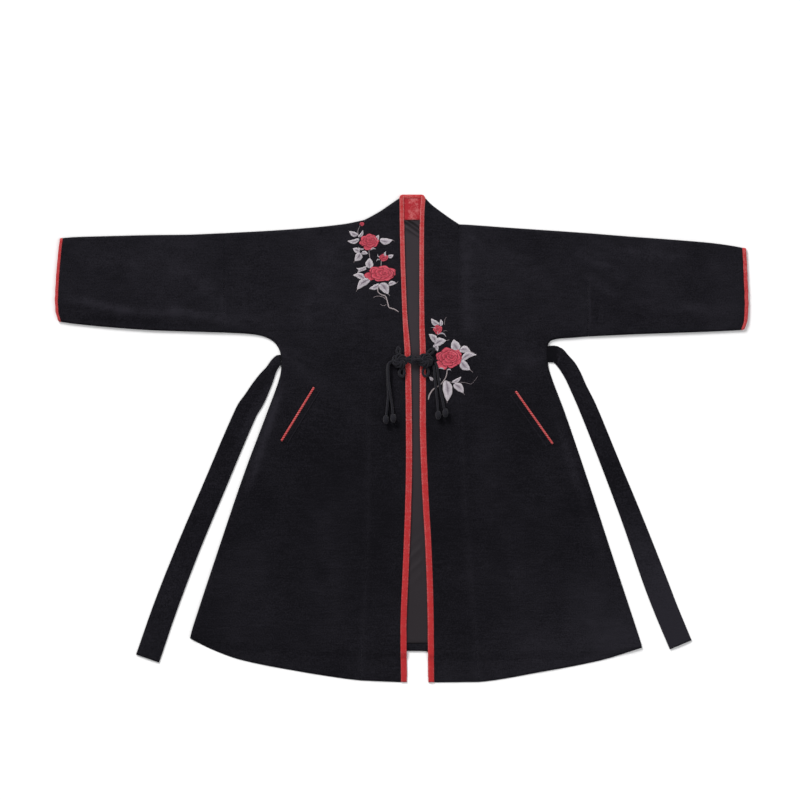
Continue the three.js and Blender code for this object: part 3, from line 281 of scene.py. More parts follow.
# The embroidered sprays, in millimetres from the middle of each spray's large rose.
# A rose or bud: x, y, width, height, turn. A leaf: base x, y, tip x, y, width, bend.
# A stem: its points, and its widths at the two ends.
SPRAYS = {
    "right": {
        "middle": (-43, 338.4),
        "roses": [(0, 0, 60, 35, 0.3), (-23, 65, 43, 30, 1.4)],
        "buds": [(-38, 102, 10, 8, 0.4), (6.3, 33.5, 20, 15, 0.0)],
        "leaves": [
            (-46, 79, -63.5, 87, 10.5, 0.1), (-45, 75, -35.5, 89, 6.5, -0.15),
            (-43, 71, -67, 67, 9.5, 0.15), (-7, 65, -3, 79.5, 8.5, 0.1),
            (-1, 69, 25, 69, 13.5, -0.12), (-42, 45, -56, 51.5, 11, 0.0),
            (-41, 43, -52, 26, 15, 0.1), (-38.5, 42, -25, 41, 8, 0.1),
            (11.5, 34, 12, 46, 4.5, 0.2), (15.5, 34.5, 27, 38.5, 8, -0.1),
            (-21, 11, -21.5, 32, 16, 0.06), (-28, 14.5, -49, 11.5, 7.5, 0.2),
            (-28, 9.5, -47, 1, 6.5, -0.15), (-31, -13, -55.5, -3, 12.5, -0.15),
            (-21, -12, -47, -32.5, 15.5, -0.12), (-2, -22, -22.5, -30.5, 10.5, 0.1),
            (0, -20, 16, -42, 18.5, 0.08), (17, -23, 33, -19.5, 9.5, 0.12),
        ],
        "sepals": [
            (-33, 51, -45, 55, 3.4, 0.25), (-20, 48, -9, 50, 3.4, 0.25),
            (0, 34, -5, 40, 2.6, 0.3), (0, 28, -8, 25, 2.6, -0.3),
        ],
        "stems": [
            ([(-41.5, 98.5), (-44, 93), (-46, 86), (-44, 74)], 0.9, 1.3),
            ([(-23, 50), (-22.5, 40), (-20.5, 28)], 1.2, 1.5),
            ([(2, 27), (1.7, 15)], 1.4, 1.6),
            (
                [(-3, -20), (-5, -36), (2, -43), (10.5, -46), (15.5, -60.5), (18, -69),
                 (29, -73), (38, -78.5)],
                2.0, 2.6,
            ),
            ([(-14.5, -49), (-6, -46), (6, -48), (11.5, -53)], 0.8, 1.4),
            ([(0, -62.5), (6, -66), (12.5, -63.5)], 0.6, 1.0),
            ([(25, 69), (29.5, 66)], 1.1, 0.6),
            ([(33, -19.5), (37, -16)], 1.0, 0.5),
            ([(16, -41), (20, -46)], 1.2, 0.6),
            ([(-52, 27), (-54.5, 22)], 1.1, 0.5),
            ([(-46, -31), (-49.5, -37)], 1.3, 0.6),
        ],
    },
    "left": {
        "middle": (96.4, 164.7),
        "roses": [(0, 0, 57, 45, 0.8)],
        "buds": [(-22.4, 59.7, 19, 19, 0.2)],
        "leaves": [
            (-24.5, 32.5, -39.5, 49.5, 13, -0.1), (-27.5, 28, -4.5, 36.5, 16, 0.12),
            (-30, 27.5, -21.5, 14.5, 9.5, 0.12), (-19, 69, -35, 81.5, 11, 0.12),
            (-15.5, 66, -15.5, 80, 7, -0.1), (21, 17, 11, 38.5, 19, 0.1),
            (23, 16.5, 46, 13.5, 14.5, 0.16), (27, -6, 58, 7, 13, 0.2),
            (26, -5.5, 45, -23.5, 17, -0.1), (-5, -45, -2, -88, 20, 0.06),
            (8, -49, 26.5, -37.5, 7.5, -0.1), (11.5, -52.5, 31, -71, 16, 0.1),
            (-31, -45.5, -39, -37.5, 6, 0.0), (-17.5, -47, -17.5, -39.5, 3.2, 0.0),
        ],
        "sepals": [
            (-22, 48, -35.5, 63, 3.2, -0.35), (-22, 48, -4, 43.5, 3.0, 0.3),
            (-8, -23, -21, -22, 3.0, -0.2), (-2, -24, 6, -25, 3.0, 0.25),
        ],
        "stems": [
            (
                [(-2, -22), (-3.5, -34), (-8, -44), (-16.5, -54), (-31, -64), (-38, -74),
                 (-41, -85)],
                1.7, 3.2,
            ),
            ([(-26, 47), (-29, 38), (-27, 28)], 0.8, 1.0),
            ([(45, 13.6), (53, 11.5)], 1.3, 0.6),
            ([(44.5, -23), (51, -29)], 1.4, 0.6),
            ([(-4.5, 36.5), (3, 38)], 1.1, 0.5),
            ([(-2, -86), (-2.5, -92)], 1.3, 0.8),
            ([(30.5, -70.5), (34, -75)], 1.2, 0.6),
            ([(-3.5, 85), (-7, 79), (-7.5, 69)], 0.5, 0.8),
            ([(-10.7, 55.5), (-5, 57), (-1.3, 55.5)], 0.8, 0.4),
            ([(12, -49), (34, -49.5), (47, -52.5), (52, -47.5), (60, -38)], 0.8, 0.4),
            ([(-6, -46), (2, -48), (10, -50)], 1.2, 1.0),
        ],
    },
}


# ---------- sizes and colours ----------
def length_property(name, description, default):
    return FloatProperty(
        name=name, description=description, default=default, min=0.0, unit="LENGTH",
        precision=4,
    )


def colour_property(name, description, default):
    return FloatVectorProperty(
        name=name, description=description, default=default, size=3, subtype="COLOR",
        min=0.0, max=1.0,
    )


class CoatSizes(bpy.types.PropertyGroup):
    """Sizes of the coat's cloth, trims and cords."""

    cell: length_property("Cloth cell", "Size of the cloth's mesh cells", 0.006)
    ripple: length_property("Ripple", "Height of the cloth's broad unevenness", 0.0007)
    cuff: length_property("Cuff binding", "Width of the red edge of a sleeve", 0.0062)
    tie_wall: length_property("Tie thickness", "Thickness of a side tie", 0.003)
    cord: length_property("Cord", "Diameter of the fastening's cord", 0.0052)
    end_knot: length_property("End knot", "Diameter of the tails' end knots", 0.0168)
    thread: length_property("Thread", "Width of the embroidery's threads", 0.0006)
    relief: length_property("Relief", "Height of the embroidery's petals", 0.0009)


class CoatColours(bpy.types.PropertyGroup):
    """Colours of the coat's cloth, cords and threads, and of the floor."""

    velvet: colour_property("Velvet", "Black velvet", (0.0042, 0.0040, 0.0055))
    # The paler colours that brushed pile and painted highlights turn each velvet to.
    nap_and_light: colour_property("Nap", "Black velvet brushed against its pile", (0.0165, 0.0155, 0.0205))
    red: colour_property("Red velvet", "Red velvet of the edges", (0.385, 0.024, 0.027))
    red_nap_and_light: colour_property("Red nap", "Red velvet, brushed", (0.55, 0.170, 0.170))
    facing: colour_property("Facing", "Red velvet inside the collar", (0.34, 0.022, 0.030))
    lining: colour_property("Lining", "Smooth lining", (0.0305, 0.025, 0.0295))
    cord: colour_property("Cord", "Cord of the fastening", (0.0050, 0.0048, 0.0072))
    petal: colour_property("Petal", "Rose thread", (0.56, 0.036, 0.072))
    # Petal shade: the colour of the painted shade and shadows on the petals.
    petal_painted_shade: colour_property("Petal shade", "Rose thread in the folds", (0.16, 0.006, 0.016))
    petal_light: colour_property("Petal light", "Rose thread on the rims", (0.76, 0.10, 0.15))
    leaf: colour_property("Leaf", "Leaf thread", (0.60, 0.55, 0.60))
    leaf_vein: colour_property("Leaf vein", "Thread of the leaf veins", (0.20, 0.16, 0.20))
    leaf_edge: colour_property("Leaf edge", "Thread of the leaf edges", (0.72, 0.66, 0.68))
    stem: colour_property("Stem", "Stem thread", (0.40, 0.335, 0.345))
    floor: colour_property("Floor", "Studio floor", (0.90, 0.90, 0.905))


class StudioSettings(bpy.types.PropertyGroup):
    """The camera and the lights."""

    view_width: length_property("View width", "Width of the camera's square view", 1.64)
    view_x: FloatProperty(
        name="View X", description="Middle of the view", default=-0.0025, unit="LENGTH"
    )
    view_y: FloatProperty(
        name="View Y", description="Middle of the view", default=0.0794, unit="LENGTH"
    )
    height: length_property("Camera height", "Camera above the floor", 3.0)
    key: FloatProperty(name="Key light", description="Strength", default=3.6, min=0.0)
    fill: FloatProperty(name="Fill light", description="Strength", default=1.0, min=0.0)
    sky: FloatProperty(name="Sky", description="Strength of the even light", default=0.36)


def sizes():
    return bpy.context.scene.coat_sizes


def colours():
    return bpy.context.scene.coat_colours


# ---------- the cut ----------
def lerp(a, b, t):
    """The value at share t of the way from a to b."""
    return a + (b - a) * t


def limited(t):
    """A share kept between 0 and 1."""
    return min(1.0, max(0.0, t))


def smooth(t):
    """A share from 0 to 1 that starts and ends gently."""
    s = limited(t)
    return s * s * (3 - 2 * s)


def hump(gap, half):
    """A soft hump: 1 where the gap is nothing, falling off within its half width."""
    return math.exp(-((gap / half) ** 2))


def steps(count):
    """Even shares from 0 to 1, both ends included."""
    return [i / count for i in range(count + 1)]


def reader(table, key=0, value=1):
    """A smooth function of one column of a table, giving another column."""
    rows = [(row[key], row[value]) for row in table]

    def slope(i):
        a, b = rows[max(0, i - 1)], rows[min(len(rows) - 1, i + 1)]
        return (b[1] - a[1]) / (b[0] - a[0])

    def value_at(at):
        i = next((n for n, row in enumerate(rows) if row[0] > at), len(rows)) - 1
        i = min(max(i, 0), len(rows) - 2)
        (x0, y0), (x1, y1) = rows[i], rows[i + 1]
        span = x1 - x0
        t = limited((at - x0) / span)
        bend = t * (1 - t) * span
        return lerp(y0, y1, smooth(t)) + bend * (slope(i) * (1 - t) - slope(i + 1) * t)

    return value_at


class Curve:
    """A smooth curve through points, read by its share of the length."""

    def __init__(self, points, fine=24):
        rows = [np.array(p, dtype=float) for p in points]
        self.points = []
        for i in range(len(rows) - 1):
            before, after = rows[max(0, i - 1)], rows[min(len(rows) - 1, i + 2)]
            a, b = rows[i], rows[i + 1]
            span = np.linalg.norm(b - a)
            v0 = (b - before) * span / (span + np.linalg.norm(a - before))
            v1 = (after - a) * span / (span + np.linalg.norm(after - b))
            for n in range(fine):
                t = n / fine
                self.points.append(
                    (2 * a - 2 * b + v0 + v1) * t**3
                    + (-3 * a + 3 * b - 2 * v0 - v1) * t**2
                    + v0 * t
                    + a
                )
        self.points.append(rows[-1])
        table = np.array(self.points)
        steps_taken = np.linalg.norm(np.diff(table, axis=0), axis=1)
        self.far = np.concatenate([[0.0], np.cumsum(steps_taken)])
        self.length = float(self.far[-1])
        self.table = table

    def at(self, share):
        far = share * self.length
        return np.array([np.interp(far, self.far, column) for column in self.table.T])

    def along(self, share):
        step = 0.002
        run = self.at(min(1.0, share + step)) - self.at(max(0.0, share - step))
        return run / np.linalg.norm(run)

    def even(self, spacing):
        count = max(2, round(self.length / spacing))
        return [self.at(s) for s in steps(count)]

    def share_at_out(self, out):
        i = int(np.argmin(np.abs(self.table[:, 0] - out)))
        return float(self.far[i]) / self.length

    def share_near(self, point):
        gaps = np.linalg.norm(self.table[:, :2] - np.array(point[:2]), axis=1)
        return float(self.far[int(np.argmin(gaps))]) / self.length


def flat(side, out, drop):
    """A place of the cut as X and Y on the surface, in millimetres."""
    return CENTRE_X + side["sign"] * out, TOP_Y - drop


def placed(side, line):
    return [flat(side, out, drop) for out, drop in line]


def in_cut(side, x, y):
    """The out and drop of a place on the surface."""
    return (x - CENTRE_X) * side["sign"], TOP_Y - y


def spot(v):
    """The place of a vertex seen from above, in millimetres."""
    return v.co.x / MM, v.co.y / MM


def back_hem(side, out):
    """How far down the back's hem is, which rises towards the side."""
    tilt = 1.8 * side["sign"] * min(1.0, out / 50)
    return BACK_HEM_DROP + tilt - side["hem_rise"] * (out / side["hem"][-1][0]) ** 2


def ridges(side, out, drop, table):
    """The height of a table's ridges at a place, in millimetres."""
    height = 0.0
    for out0, drop0, out1, drop1, half, rise in table[side["name"]]:
        run_out, run_drop = out1 - out0, drop1 - drop0
        length = math.hypot(run_out, run_drop)
        across = ((out - out0) * run_drop - (drop - drop0) * run_out) / length
        if abs(across) > 3 * half:
            continue
        along = ((out - out0) * run_out + (drop - drop0) * run_drop) / length**2
        ends = smooth((along + 0.12) / 0.3) * smooth((1.12 - along) / 0.3)
        height += rise * ends * hump(across, half)
    return height


def unevenness(side, out, drop):
    """The cloth's broad ripples and its small creases, in millimetres."""
    x, y = flat(side, out, drop)
    broad = noise.noise(Vector((x / 85, y / 120, 3.1)))
    small = noise.noise(Vector((x / 30, y / 42, 7.7)))
    return sizes().ripple / MM * (broad + 0.45 * small) + ridges(side, out, drop, CREASES)


def front_under(side, out, drop):
    """The underside of a front, down to the floor past the back's hem and up in folds."""
    past = (drop - back_hem(side, out) - 4) / FLOOR_REACH
    rise = ridges(side, out, drop, FOLDS) + unevenness(side, out, drop) + 0.5
    return FRONT_BOTTOM * (1 - smooth(past)) + max(0.0, rise)


def front_top(side, out, drop):
    return front_under(side, out, drop) + FRONT_WALL


def mark_pile_and_light(bm, mark):
    """Stores a mark at each vertex as a float attribute: the brushed pile's own marks, painted
    highlights and painted shade.
    """
    layer = bm.verts.layers.float.new("nap_and_light")
    for v in bm.verts:
        v[layer] = mark(v)


def paint_fold_highlights(bm, side):
    """Marks painted highlights where the pile catches the light: on folds and creases, and along
    the seam, in uneven patches.
    """
    band_seam = reader(side["band_seam"])

    def mark(v):
        out, drop = in_cut(side, *spot(v))
        patchiness = noise.noise(Vector((out / 34, drop / 15, 2.0 + side["sign"])))
        patchiness += 0.6 * noise.noise(Vector((out / 13, drop / 8, 6.0 + side["sign"])))
        highlight = ridges(side, out, drop, FOLDS) * (0.12 + 0.12 * patchiness)
        highlight += (0.05 + 0.05 * smooth((340 - drop) / 60)) * patchiness
        highlight += 0.16 * hump(out - band_seam(drop), 6) * smooth((drop - 300) / 200)
        return highlight + 0.14 * ridges(side, out, drop, CREASES)

    mark_pile_and_light(bm, mark)


def roll_share(inset):
    """How high the cloth is at an inset from its rolled edge, as a share of its height."""
    left = 1 - limited(inset / ROLL)
    return 0.22 + 0.78 * math.sqrt(1 - left * left)


def gaps_to(points, line):
    """The distance of each point from a line of points."""
    p = np.array(points)[:, None, :]
    a = np.array(line[:-1])[None, :, :]
    b = np.array(line[1:])[None, :, :]
    run = b - a
    share = ((p - a) * run).sum(-1) / np.maximum((run * run).sum(-1), 1e-9)
    near = a + np.clip(share, 0, 1)[..., None] * run
    return np.sqrt(((p - near) ** 2).sum(-1)).min(axis=1)


# ---------- meshes ----------
def finished(name, bm, material, slot, *nodes):
    """Turns a bmesh into a piece of the coat that replaces the given nodes."""
    mesh = bpy.data.meshes.new(name)
    bm.to_mesh(mesh)
    bm.free()
    mesh.materials.append(material)
    piece = bpy.data.objects.new(name, mesh)
    bpy.context.scene.collection.objects.link(piece)
    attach(piece, "root")
    if nodes:
        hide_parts(*nodes)
    return piece


def black_piece(name, bm, *nodes):
    return finished(name, bm, black_velvet(), "black_velvet", *nodes)


def red_piece(name, bm, *nodes):
    return finished(name, bm, red_velvet(), "red_velvet", *nodes)


def cord_piece(name, bm, *nodes):
    return finished(name, bm, cord_material(), "black_cord", *nodes)


def smooth_faces(bm):
    for face in bm.faces:
        face.smooth = True


def swept(bm, rings, closed=True, capped=True):
    """A skin through rings of points in millimetres, with a UV map in metres."""
    around, along = len(rings[0]), len(rings)
    segments = around if closed else around - 1
    made = bmesh.ops.create_grid(
        bm, x_segments=segments, y_segments=along - 1, size=0.5, calc_uvs=False
    )["verts"]
    layer = bm.loops.layers.uv.verify()
    girth = [0.0]
    middle = rings[along // 2]
    for i in range(segments):
        girth.append(girth[-1] + math.dist(middle[i], middle[(i + 1) % around]))
    reach = [0.0]
    for a, b in zip(rings, rings[1:]):
        reach.append(reach[-1] + math.dist(a[0], b[0]))
    place = {
        v: (round((v.co.x + 0.5) * segments), round((v.co.y + 0.5) * (along - 1)))
        for v in made
    }
    faces = {face for v in made for face in v.link_faces}
    for face in faces:
        face.smooth = True
        for loop in face.loops:
            i, j = place[loop.vert]
            loop[layer].uv = (girth[i] * MM, reach[j] * MM)
    for v, (i, j) in place.items():
        v.co = Vector(rings[j][i % around]) * MM
    if closed:
        bmesh.ops.remove_doubles(bm, verts=made, dist=1e-7)
    made = [v for v in made if v.is_valid]
    if closed and capped:
        rims = {e for v in made for e in v.link_edges if e.is_boundary}
        caps = bmesh.ops.holes_fill(bm, edges=list(rims), sides=0)["faces"]
        for cap in caps:
            cap.smooth = False
    return made


def face_outwards(bm):
    bmesh.ops.recalc_face_normals(bm, faces=bm.faces[:])
    bm.normal_update()
    if bm.calc_volume(signed=True) < 0:
        bmesh.ops.reverse_faces(bm, faces=bm.faces[:])


def rest_on_surface(bm):
    for v in bm.verts:
        v.co.z = max(v.co.z, CLEARANCE * MM)


def thicken(bm, wall):
    """Gives a sheet that faces up its thickness, downwards, and rests it on the surface."""
    made = bmesh.ops.extrude_face_region(bm, geom=bm.faces[:], use_keep_orig=True)["geom"]
    for item in made:
        if isinstance(item, bmesh.types.BMVert):
            item.co.z -= wall * MM
    rest_on_surface(bm)
    face_outwards(bm)
    smooth_faces(bm)


def cut_cloth(outline, insets, cell):
    """A flat panel cut to an outline, with rings of cells along its edge and square ones
    inside."""
    bm = bmesh.new()
    face = bm.faces.new([bm.verts.new((x * MM, y * MM, 0)) for x, y in outline])
    last = 0.0
    for inset in insets:
        bmesh.ops.inset_region(
            bm, faces=[face], thickness=(inset - last) * MM, use_even_offset=False,
            use_boundary=True,
        )
        last = inset
    geom = [face, *face.edges, *face.verts]
    for axis in (1, 0):
        values = [point[axis] * MM for point in outline]
        count = math.ceil((max(values) - min(values)) / cell)
        for i in range(1, count):
            place, normal = [0.0, 0.0, 0.0], [0.0, 0.0, 0.0]
            place[axis] = lerp(min(values), max(values), i / count)
            normal[axis] = 1.0
            geom = bmesh.ops.bisect_plane(
                bm, geom=geom, dist=1e-6, plane_co=place, plane_no=normal
            )["geom"]
    return bm


# ---------- materials ----------
def new_group(name, vectors=(), tints=(), values=(), outputs=()):
    """A node group with its inputs, each given by its name and default, and outputs."""
    group = bpy.data.node_groups.new(name, "ShaderNodeTree")
    inputs = (("Vector", vectors), ("Color", tints), ("Float", values))
    for kind, sockets in inputs:
        for socket, default in dict(sockets).items():
            made = group.interface.new_socket(
                socket, in_out="INPUT", socket_type=f"NodeSocket{kind}"
            )
            made.default_value = default
    for socket, kind in dict(outputs).items():
        group.interface.new_socket(socket, in_out="OUTPUT", socket_type=f"NodeSocket{kind}")
    nodes = group.nodes
    return group, nodes.new("NodeGroupInput"), nodes.new("NodeGroupOutput")


class Wiring:
    """Short calls that add nodes to a tree and join them."""

    def __init__(self, tree):
        self.tree = tree

    def put(self, socket, value):
        if isinstance(value, bpy.types.NodeSocket):
            self.tree.links.new(value, socket)
        else:
            socket.default_value = value

    def fill(self, node, **inputs):
        """Sets or joins the sockets of a node, named with _ for each space."""
        for key, value in inputs.items():
            self.put(node.inputs[key.replace("_", " ")], value)

    def node(self, kind, settings=None, **inputs):
        node = self.tree.nodes.new(kind)
        for key, value in (settings or {}).items():
            setattr(node, key, value)
        self.fill(node, **inputs)
        return node

    def math(self, operation, *values, clamp=False):
        node = self.tree.nodes.new("ShaderNodeMath")
        node.operation, node.use_clamp = operation, clamp
        for socket, value in zip(node.inputs, values):
            self.put(socket, value)
        return node.outputs[0]

    def weighed(self, *parts):
        """The sum of values, each times its own share."""
        (value, share), *rest = parts
        total = self.math("MULTIPLY", value, share)
        for value, share in rest:
            total = self.math("MULTIPLY_ADD", value, share, total)
        return total

    def wave(self, value, pace):
        """An even wave between 0 and 1."""
        sine = self.math("SINE", self.math("MULTIPLY", value, pace))
        return self.math("MULTIPLY_ADD", sine, 0.5, 0.5)

    def parts(self, vector):
        return self.node("ShaderNodeSeparateXYZ", Vector=vector).outputs

    def attribute(self, name):
        return self.node("ShaderNodeAttribute", {"attribute_name": name}).outputs["Fac"]

    def scaled(self, vector, scale):
        node = self.tree.nodes.new("ShaderNodeMapping")
        self.put(node.inputs["Vector"], vector)
        node.inputs["Scale"].default_value = scale
        return node.outputs[0]

    def noise(self, vector, scale, detail=2.0, roughness=0.5, distortion=0.0):
        node = self.node(
            "ShaderNodeTexNoise", Vector=vector, Scale=scale, Detail=detail,
            Roughness=roughness, Distortion=distortion,
        )
        return node.outputs["Fac"]

    def ramp(self, value, low, high, to_low=0.0, to_high=1.0):
        node = self.node(
            "ShaderNodeMapRange", {"clamp": True}, Value=value, From_Min=low, From_Max=high,
            To_Min=to_low, To_Max=to_high,
        )
        return node.outputs["Result"]

    def mix(self, factor, a, b, blend="MIX"):
        node = self.tree.nodes.new("ShaderNodeMix")
        node.data_type, node.blend_type = "RGBA", blend
        self.put(node.inputs["Factor"], factor)
        for socket, value in ((node.inputs[6], a), (node.inputs[7], b)):
            self.put(socket, (*value, 1.0) if isinstance(value, tuple) else value)
        return node.outputs[2]


def pile_group():
    """Velvet pile: brushed clouds, fine lengthwise ribs and single tufts, with painted light on
    top.
    """
    name = "velvet pile"
    if name in bpy.data.node_groups:
        return bpy.data.node_groups[name]
    group, start, end = new_group(
        name,
        vectors={"Vector": (0, 0, 0)},
        tints={"Base": (0.01, 0.01, 0.01, 1), "Nap": (0.03, 0.03, 0.03, 1)},
        values={"Clouds": 18.0, "Ribs": 380.0, "Contrast": 1.0, "Fade": 0.0, "Lift": 0.0},
        outputs={"Color": "Color", "Roughness": "Float", "Height": "Float"},
    )
    w = Wiring(group)
    vector = start.outputs["Vector"]
    clouds = w.ramp(w.noise(vector, start.outputs["Clouds"], 3.0, 0.5, 0.3), 0.3, 0.75)
    ribs = w.ramp(
        w.noise(w.scaled(vector, (0.1, 1.0, 1.0)), start.outputs["Ribs"], 2.0, 0.55, 0.1),
        0.28, 0.76,
    )
    grain = w.ramp(w.noise(vector, 430.0, 3.0, 0.7), 0.34, 0.68)
    tufts = w.noise(vector, 1500.0, 2.0, 0.7)
    patches = w.noise(vector, 90.0, 3.0, 0.6)
    blend = w.weighed((clouds, 0.24), (ribs, 0.2), (grain, 0.64), (patches, 0.12))
    blend = w.math("SUBTRACT", blend, 0.42)
    blend = w.math("MULTIPLY", blend, start.outputs["Contrast"])
    across, up, _ = w.parts(vector)
    # Painted light: the velvet is made lighter towards the shoulders, the hem and the lower right
    # corner.
    lighter_shoulders = w.ramp(up, 0.02, 0.26, 0.0, 0.26)
    hem = w.ramp(up, -0.25, -0.5, 0.0, 0.12)
    corner = w.ramp(w.math("SUBTRACT", w.math("MULTIPLY", across, 0.8), up), 0.5, 0.92, 0.0,
                    0.6)
    painted_light = w.math("ADD", w.math("ADD", lighter_shoulders, hem), corner)
    painted_light = w.math("MULTIPLY", painted_light, start.outputs["Fade"])
    # The vertex attribute lifts or lowers the pile's colour: painted highlights, painted shade,
    # and the brushed pile's own marks.
    blend = w.math("ADD", w.math("ADD", blend, painted_light), start.outputs["Lift"], clamp=True)
    colour = w.mix(blend, start.outputs["Base"], start.outputs["Nap"])
    height = w.weighed((tufts, 0.8), (ribs, 0.6), (grain, 0.5))
    w.fill(end, Color=colour, Roughness=w.ramp(blend, 0.0, 1.0, 0.95, 0.82), Height=height)
    return group


def thread_group():
    """Satin stitch: fine parallel threads along U, bent towards an edge by V."""
    name = "satin threads"
    if name in bpy.data.node_groups:
        return bpy.data.node_groups[name]
    group, start, end = new_group(
        name,
        vectors={"Vector": (0, 0, 0)},
        values={"Width": 0.0006, "Slant": 0.9},
        outputs={"Shade": "Float", "Height": "Float"},
    )
    w = Wiring(group)
    along, across, _ = w.parts(start.outputs["Vector"])
    slanted = w.math("MULTIPLY", w.math("ABSOLUTE", across), start.outputs["Slant"])
    run = w.math("SUBTRACT", along, slanted)
    thread = w.wave(w.math("DIVIDE", run, start.outputs["Width"]), 2 * math.pi)
    uneven = w.noise(start.outputs["Vector"], 700.0, 2.0, 0.6)
    shade = w.weighed((thread, 0.3), (uneven, 0.7))
    w.fill(end, Shade=shade, Height=thread)
    return group


def new_material(name):
    """A material with its wiring, its shader and its texture coordinates."""
    material = bpy.data.materials.new(name)
    material.use_nodes = True
    tree = material.node_tree
    shader = tree.nodes["Principled BSDF"]
    coords = tree.nodes.new("ShaderNodeTexCoord")
    return material, Wiring(tree), shader, coords


def bumped(w, shader, height, distance, strength=1.0):
    bump = w.node("ShaderNodeBump", Height=height, Strength=strength, Distance=distance)
    w.put(shader.inputs["Normal"], bump.outputs["Normal"])


def velvet_material(name, base, nap_and_light, ribs=380.0, contrast=1.0,
                    sheen=0.12, clouds=18.0, depth=0.0004, painted_light=0.0):
    """Velvet that turns paler than its base where its pile is brushed, and paler or darker where
    its vertex attribute paints highlights and shade.
    """
    found = bpy.data.materials.get(name)
    if found:
        return found
    material, w, shader, coords = new_material(name)
    pile = w.node(
        "ShaderNodeGroup", {"node_tree": pile_group()}, Vector=coords.outputs["Object"],
        Lift=w.attribute("nap_and_light"), Fade=painted_light, Base=(*base, 1), Nap=(*nap_and_light, 1), Ribs=ribs,
        Clouds=clouds, Contrast=contrast,
    )
    tint = tuple(min(1.0, 0.25 + 2.2 * c) for c in nap_and_light)
    w.fill(
        shader, Base_Color=pile.outputs["Color"], Roughness=pile.outputs["Roughness"],
        Specular_IOR_Level=0.03, Sheen_Weight=sheen, Sheen_Roughness=0.45,
        Sheen_Tint=(*tint, 1),
    )
    bumped(w, shader, pile.outputs["Height"], depth)
    return material


def black_velvet():
    c = colours()
    # Only the black velvet gets the painted light that depends on its place.
    return velvet_material("black velvet", c.velvet, c.nap_and_light, contrast=1.3, clouds=9.0, painted_light=1.0)


def red_velvet():
    c = colours()
    return velvet_material(
        "red velvet", c.red, c.red_nap_and_light, ribs=240.0, contrast=1.1, sheen=0.2, clouds=70.0,
        depth=0.0005,
    )


def facing_velvet():
    c = colours()
    return velvet_material(
        "red facing velvet", c.facing, c.red_nap_and_light, ribs=170.0, contrast=0.8, sheen=0.2,
        clouds=60.0,
    )


def shades(colour, *shares):
    """Darker and lighter versions of a colour."""
    return [tuple(share * v for v in colour) for share in shares]


def lining_satin():
    """Smooth satin, darker towards the hem, with painted shade in the valleys of its wrinkles,
    under the collar and along its lower edge.
    """
    material = bpy.data.materials.get("charcoal lining")
    if material:
        return material
    material, w, shader, coords = new_material("charcoal lining")
    place = coords.outputs["Object"]
    darker, lighter, low, painted_shade = shades(colours().lining, 0.86, 1.16, 0.35, 0.22)
    fine = w.noise(w.scaled(place, (1.0, 0.12, 1.0)), 2600.0, 2.0, 0.6)
    broad = w.noise(place, 14.0, 2.0)
    shade = w.weighed((broad, 0.65), (fine, 0.35))
    towards_hem = w.ramp(w.parts(place)["Y"], 0.25, -0.25, 0.0, 0.55)
    colour = w.mix(towards_hem, w.mix(shade, darker, lighter), low)
    # Painted shade where the vertex attribute marks it.
    w.fill(
        shader, Base_Color=w.mix(w.attribute("nap_and_light"), colour, painted_shade),
        Roughness=w.ramp(fine, 0.2, 0.8, 0.58, 0.68), Specular_IOR_Level=0.12,
    )
    bumped(w, shader, fine, 0.0001, 0.5)
    return material


def cord_material():
    """Matt cord with a fine slanting ply, on the cord's own UV map; the ply's paler stripes are
    also a painted highlight on each strand.
    """
    material = bpy.data.materials.get("black cord")
    if material:
        return material
    material, w, shader, coords = new_material("black cord")
    base, lighter = shades(colours().cord, 1.0, 2.6)
    around, along, _ = w.parts(coords.outputs["UV"])
    slanted = w.math("ADD", w.math("MULTIPLY", around, 720.0),
                     w.math("MULTIPLY", along, 900.0))
    ply_and_highlight = w.wave(slanted, math.pi)
    fluff = w.noise(coords.outputs["Object"], 1400.0, 3.0, 0.7)
    shade = w.weighed((fluff, 0.6), (ply_and_highlight, 0.5))
    w.fill(
        shader, Base_Color=w.mix(shade, base, lighter),
        Roughness=w.ramp(fluff, 0.2, 0.8, 0.75, 0.92), Specular_IOR_Level=0.12,
        Sheen_Weight=0.1, Sheen_Roughness=0.5,
    )
    bumped(w, shader, w.math("ADD", ply_and_highlight, fluff), 0.0004)
    return material


def toned_thread(name, low, middle, high, slant, gloss):
    """Embroidery thread whose colour follows the piece's own tone, from 0 to 1, with painted shade
    between its threads.
    """
    material = bpy.data.materials.get(name)
    if material:
        return material
    material, w, shader, coords = new_material(name)
    threads = w.node(
        "ShaderNodeGroup", {"node_tree": thread_group()}, Vector=coords.outputs["UV"],
        Width=sizes().thread, Slant=slant,
    )
    mottle = w.noise(coords.outputs["Object"], 330.0, 3.0, 0.6)
    tone = w.math(
        "ADD", w.attribute("tone"), w.math("MULTIPLY_ADD", mottle, 0.34, -0.17), clamp=True
    )
    dark_half = w.mix(w.ramp(tone, 0.0, 0.5), tuple(low), tuple(middle))
    colour = w.mix(w.ramp(tone, 0.5, 1.0), dark_half, tuple(high))
    # Painted shade in the grooves between the threads.
    between = w.ramp(threads.outputs["Shade"], 0.15, 0.8, 0.3, 0.0)
    w.fill(
        shader, Base_Color=w.mix(between, colour, (0.03, 0.02, 0.03)),
        Roughness=w.ramp(mottle, 0.2, 0.8, gloss - 0.06, gloss + 0.08),
        Specular_IOR_Level=0.4, Sheen_Weight=0.08,
    )
    bumped(w, shader, threads.outputs["Height"], 0.00025)
    return material


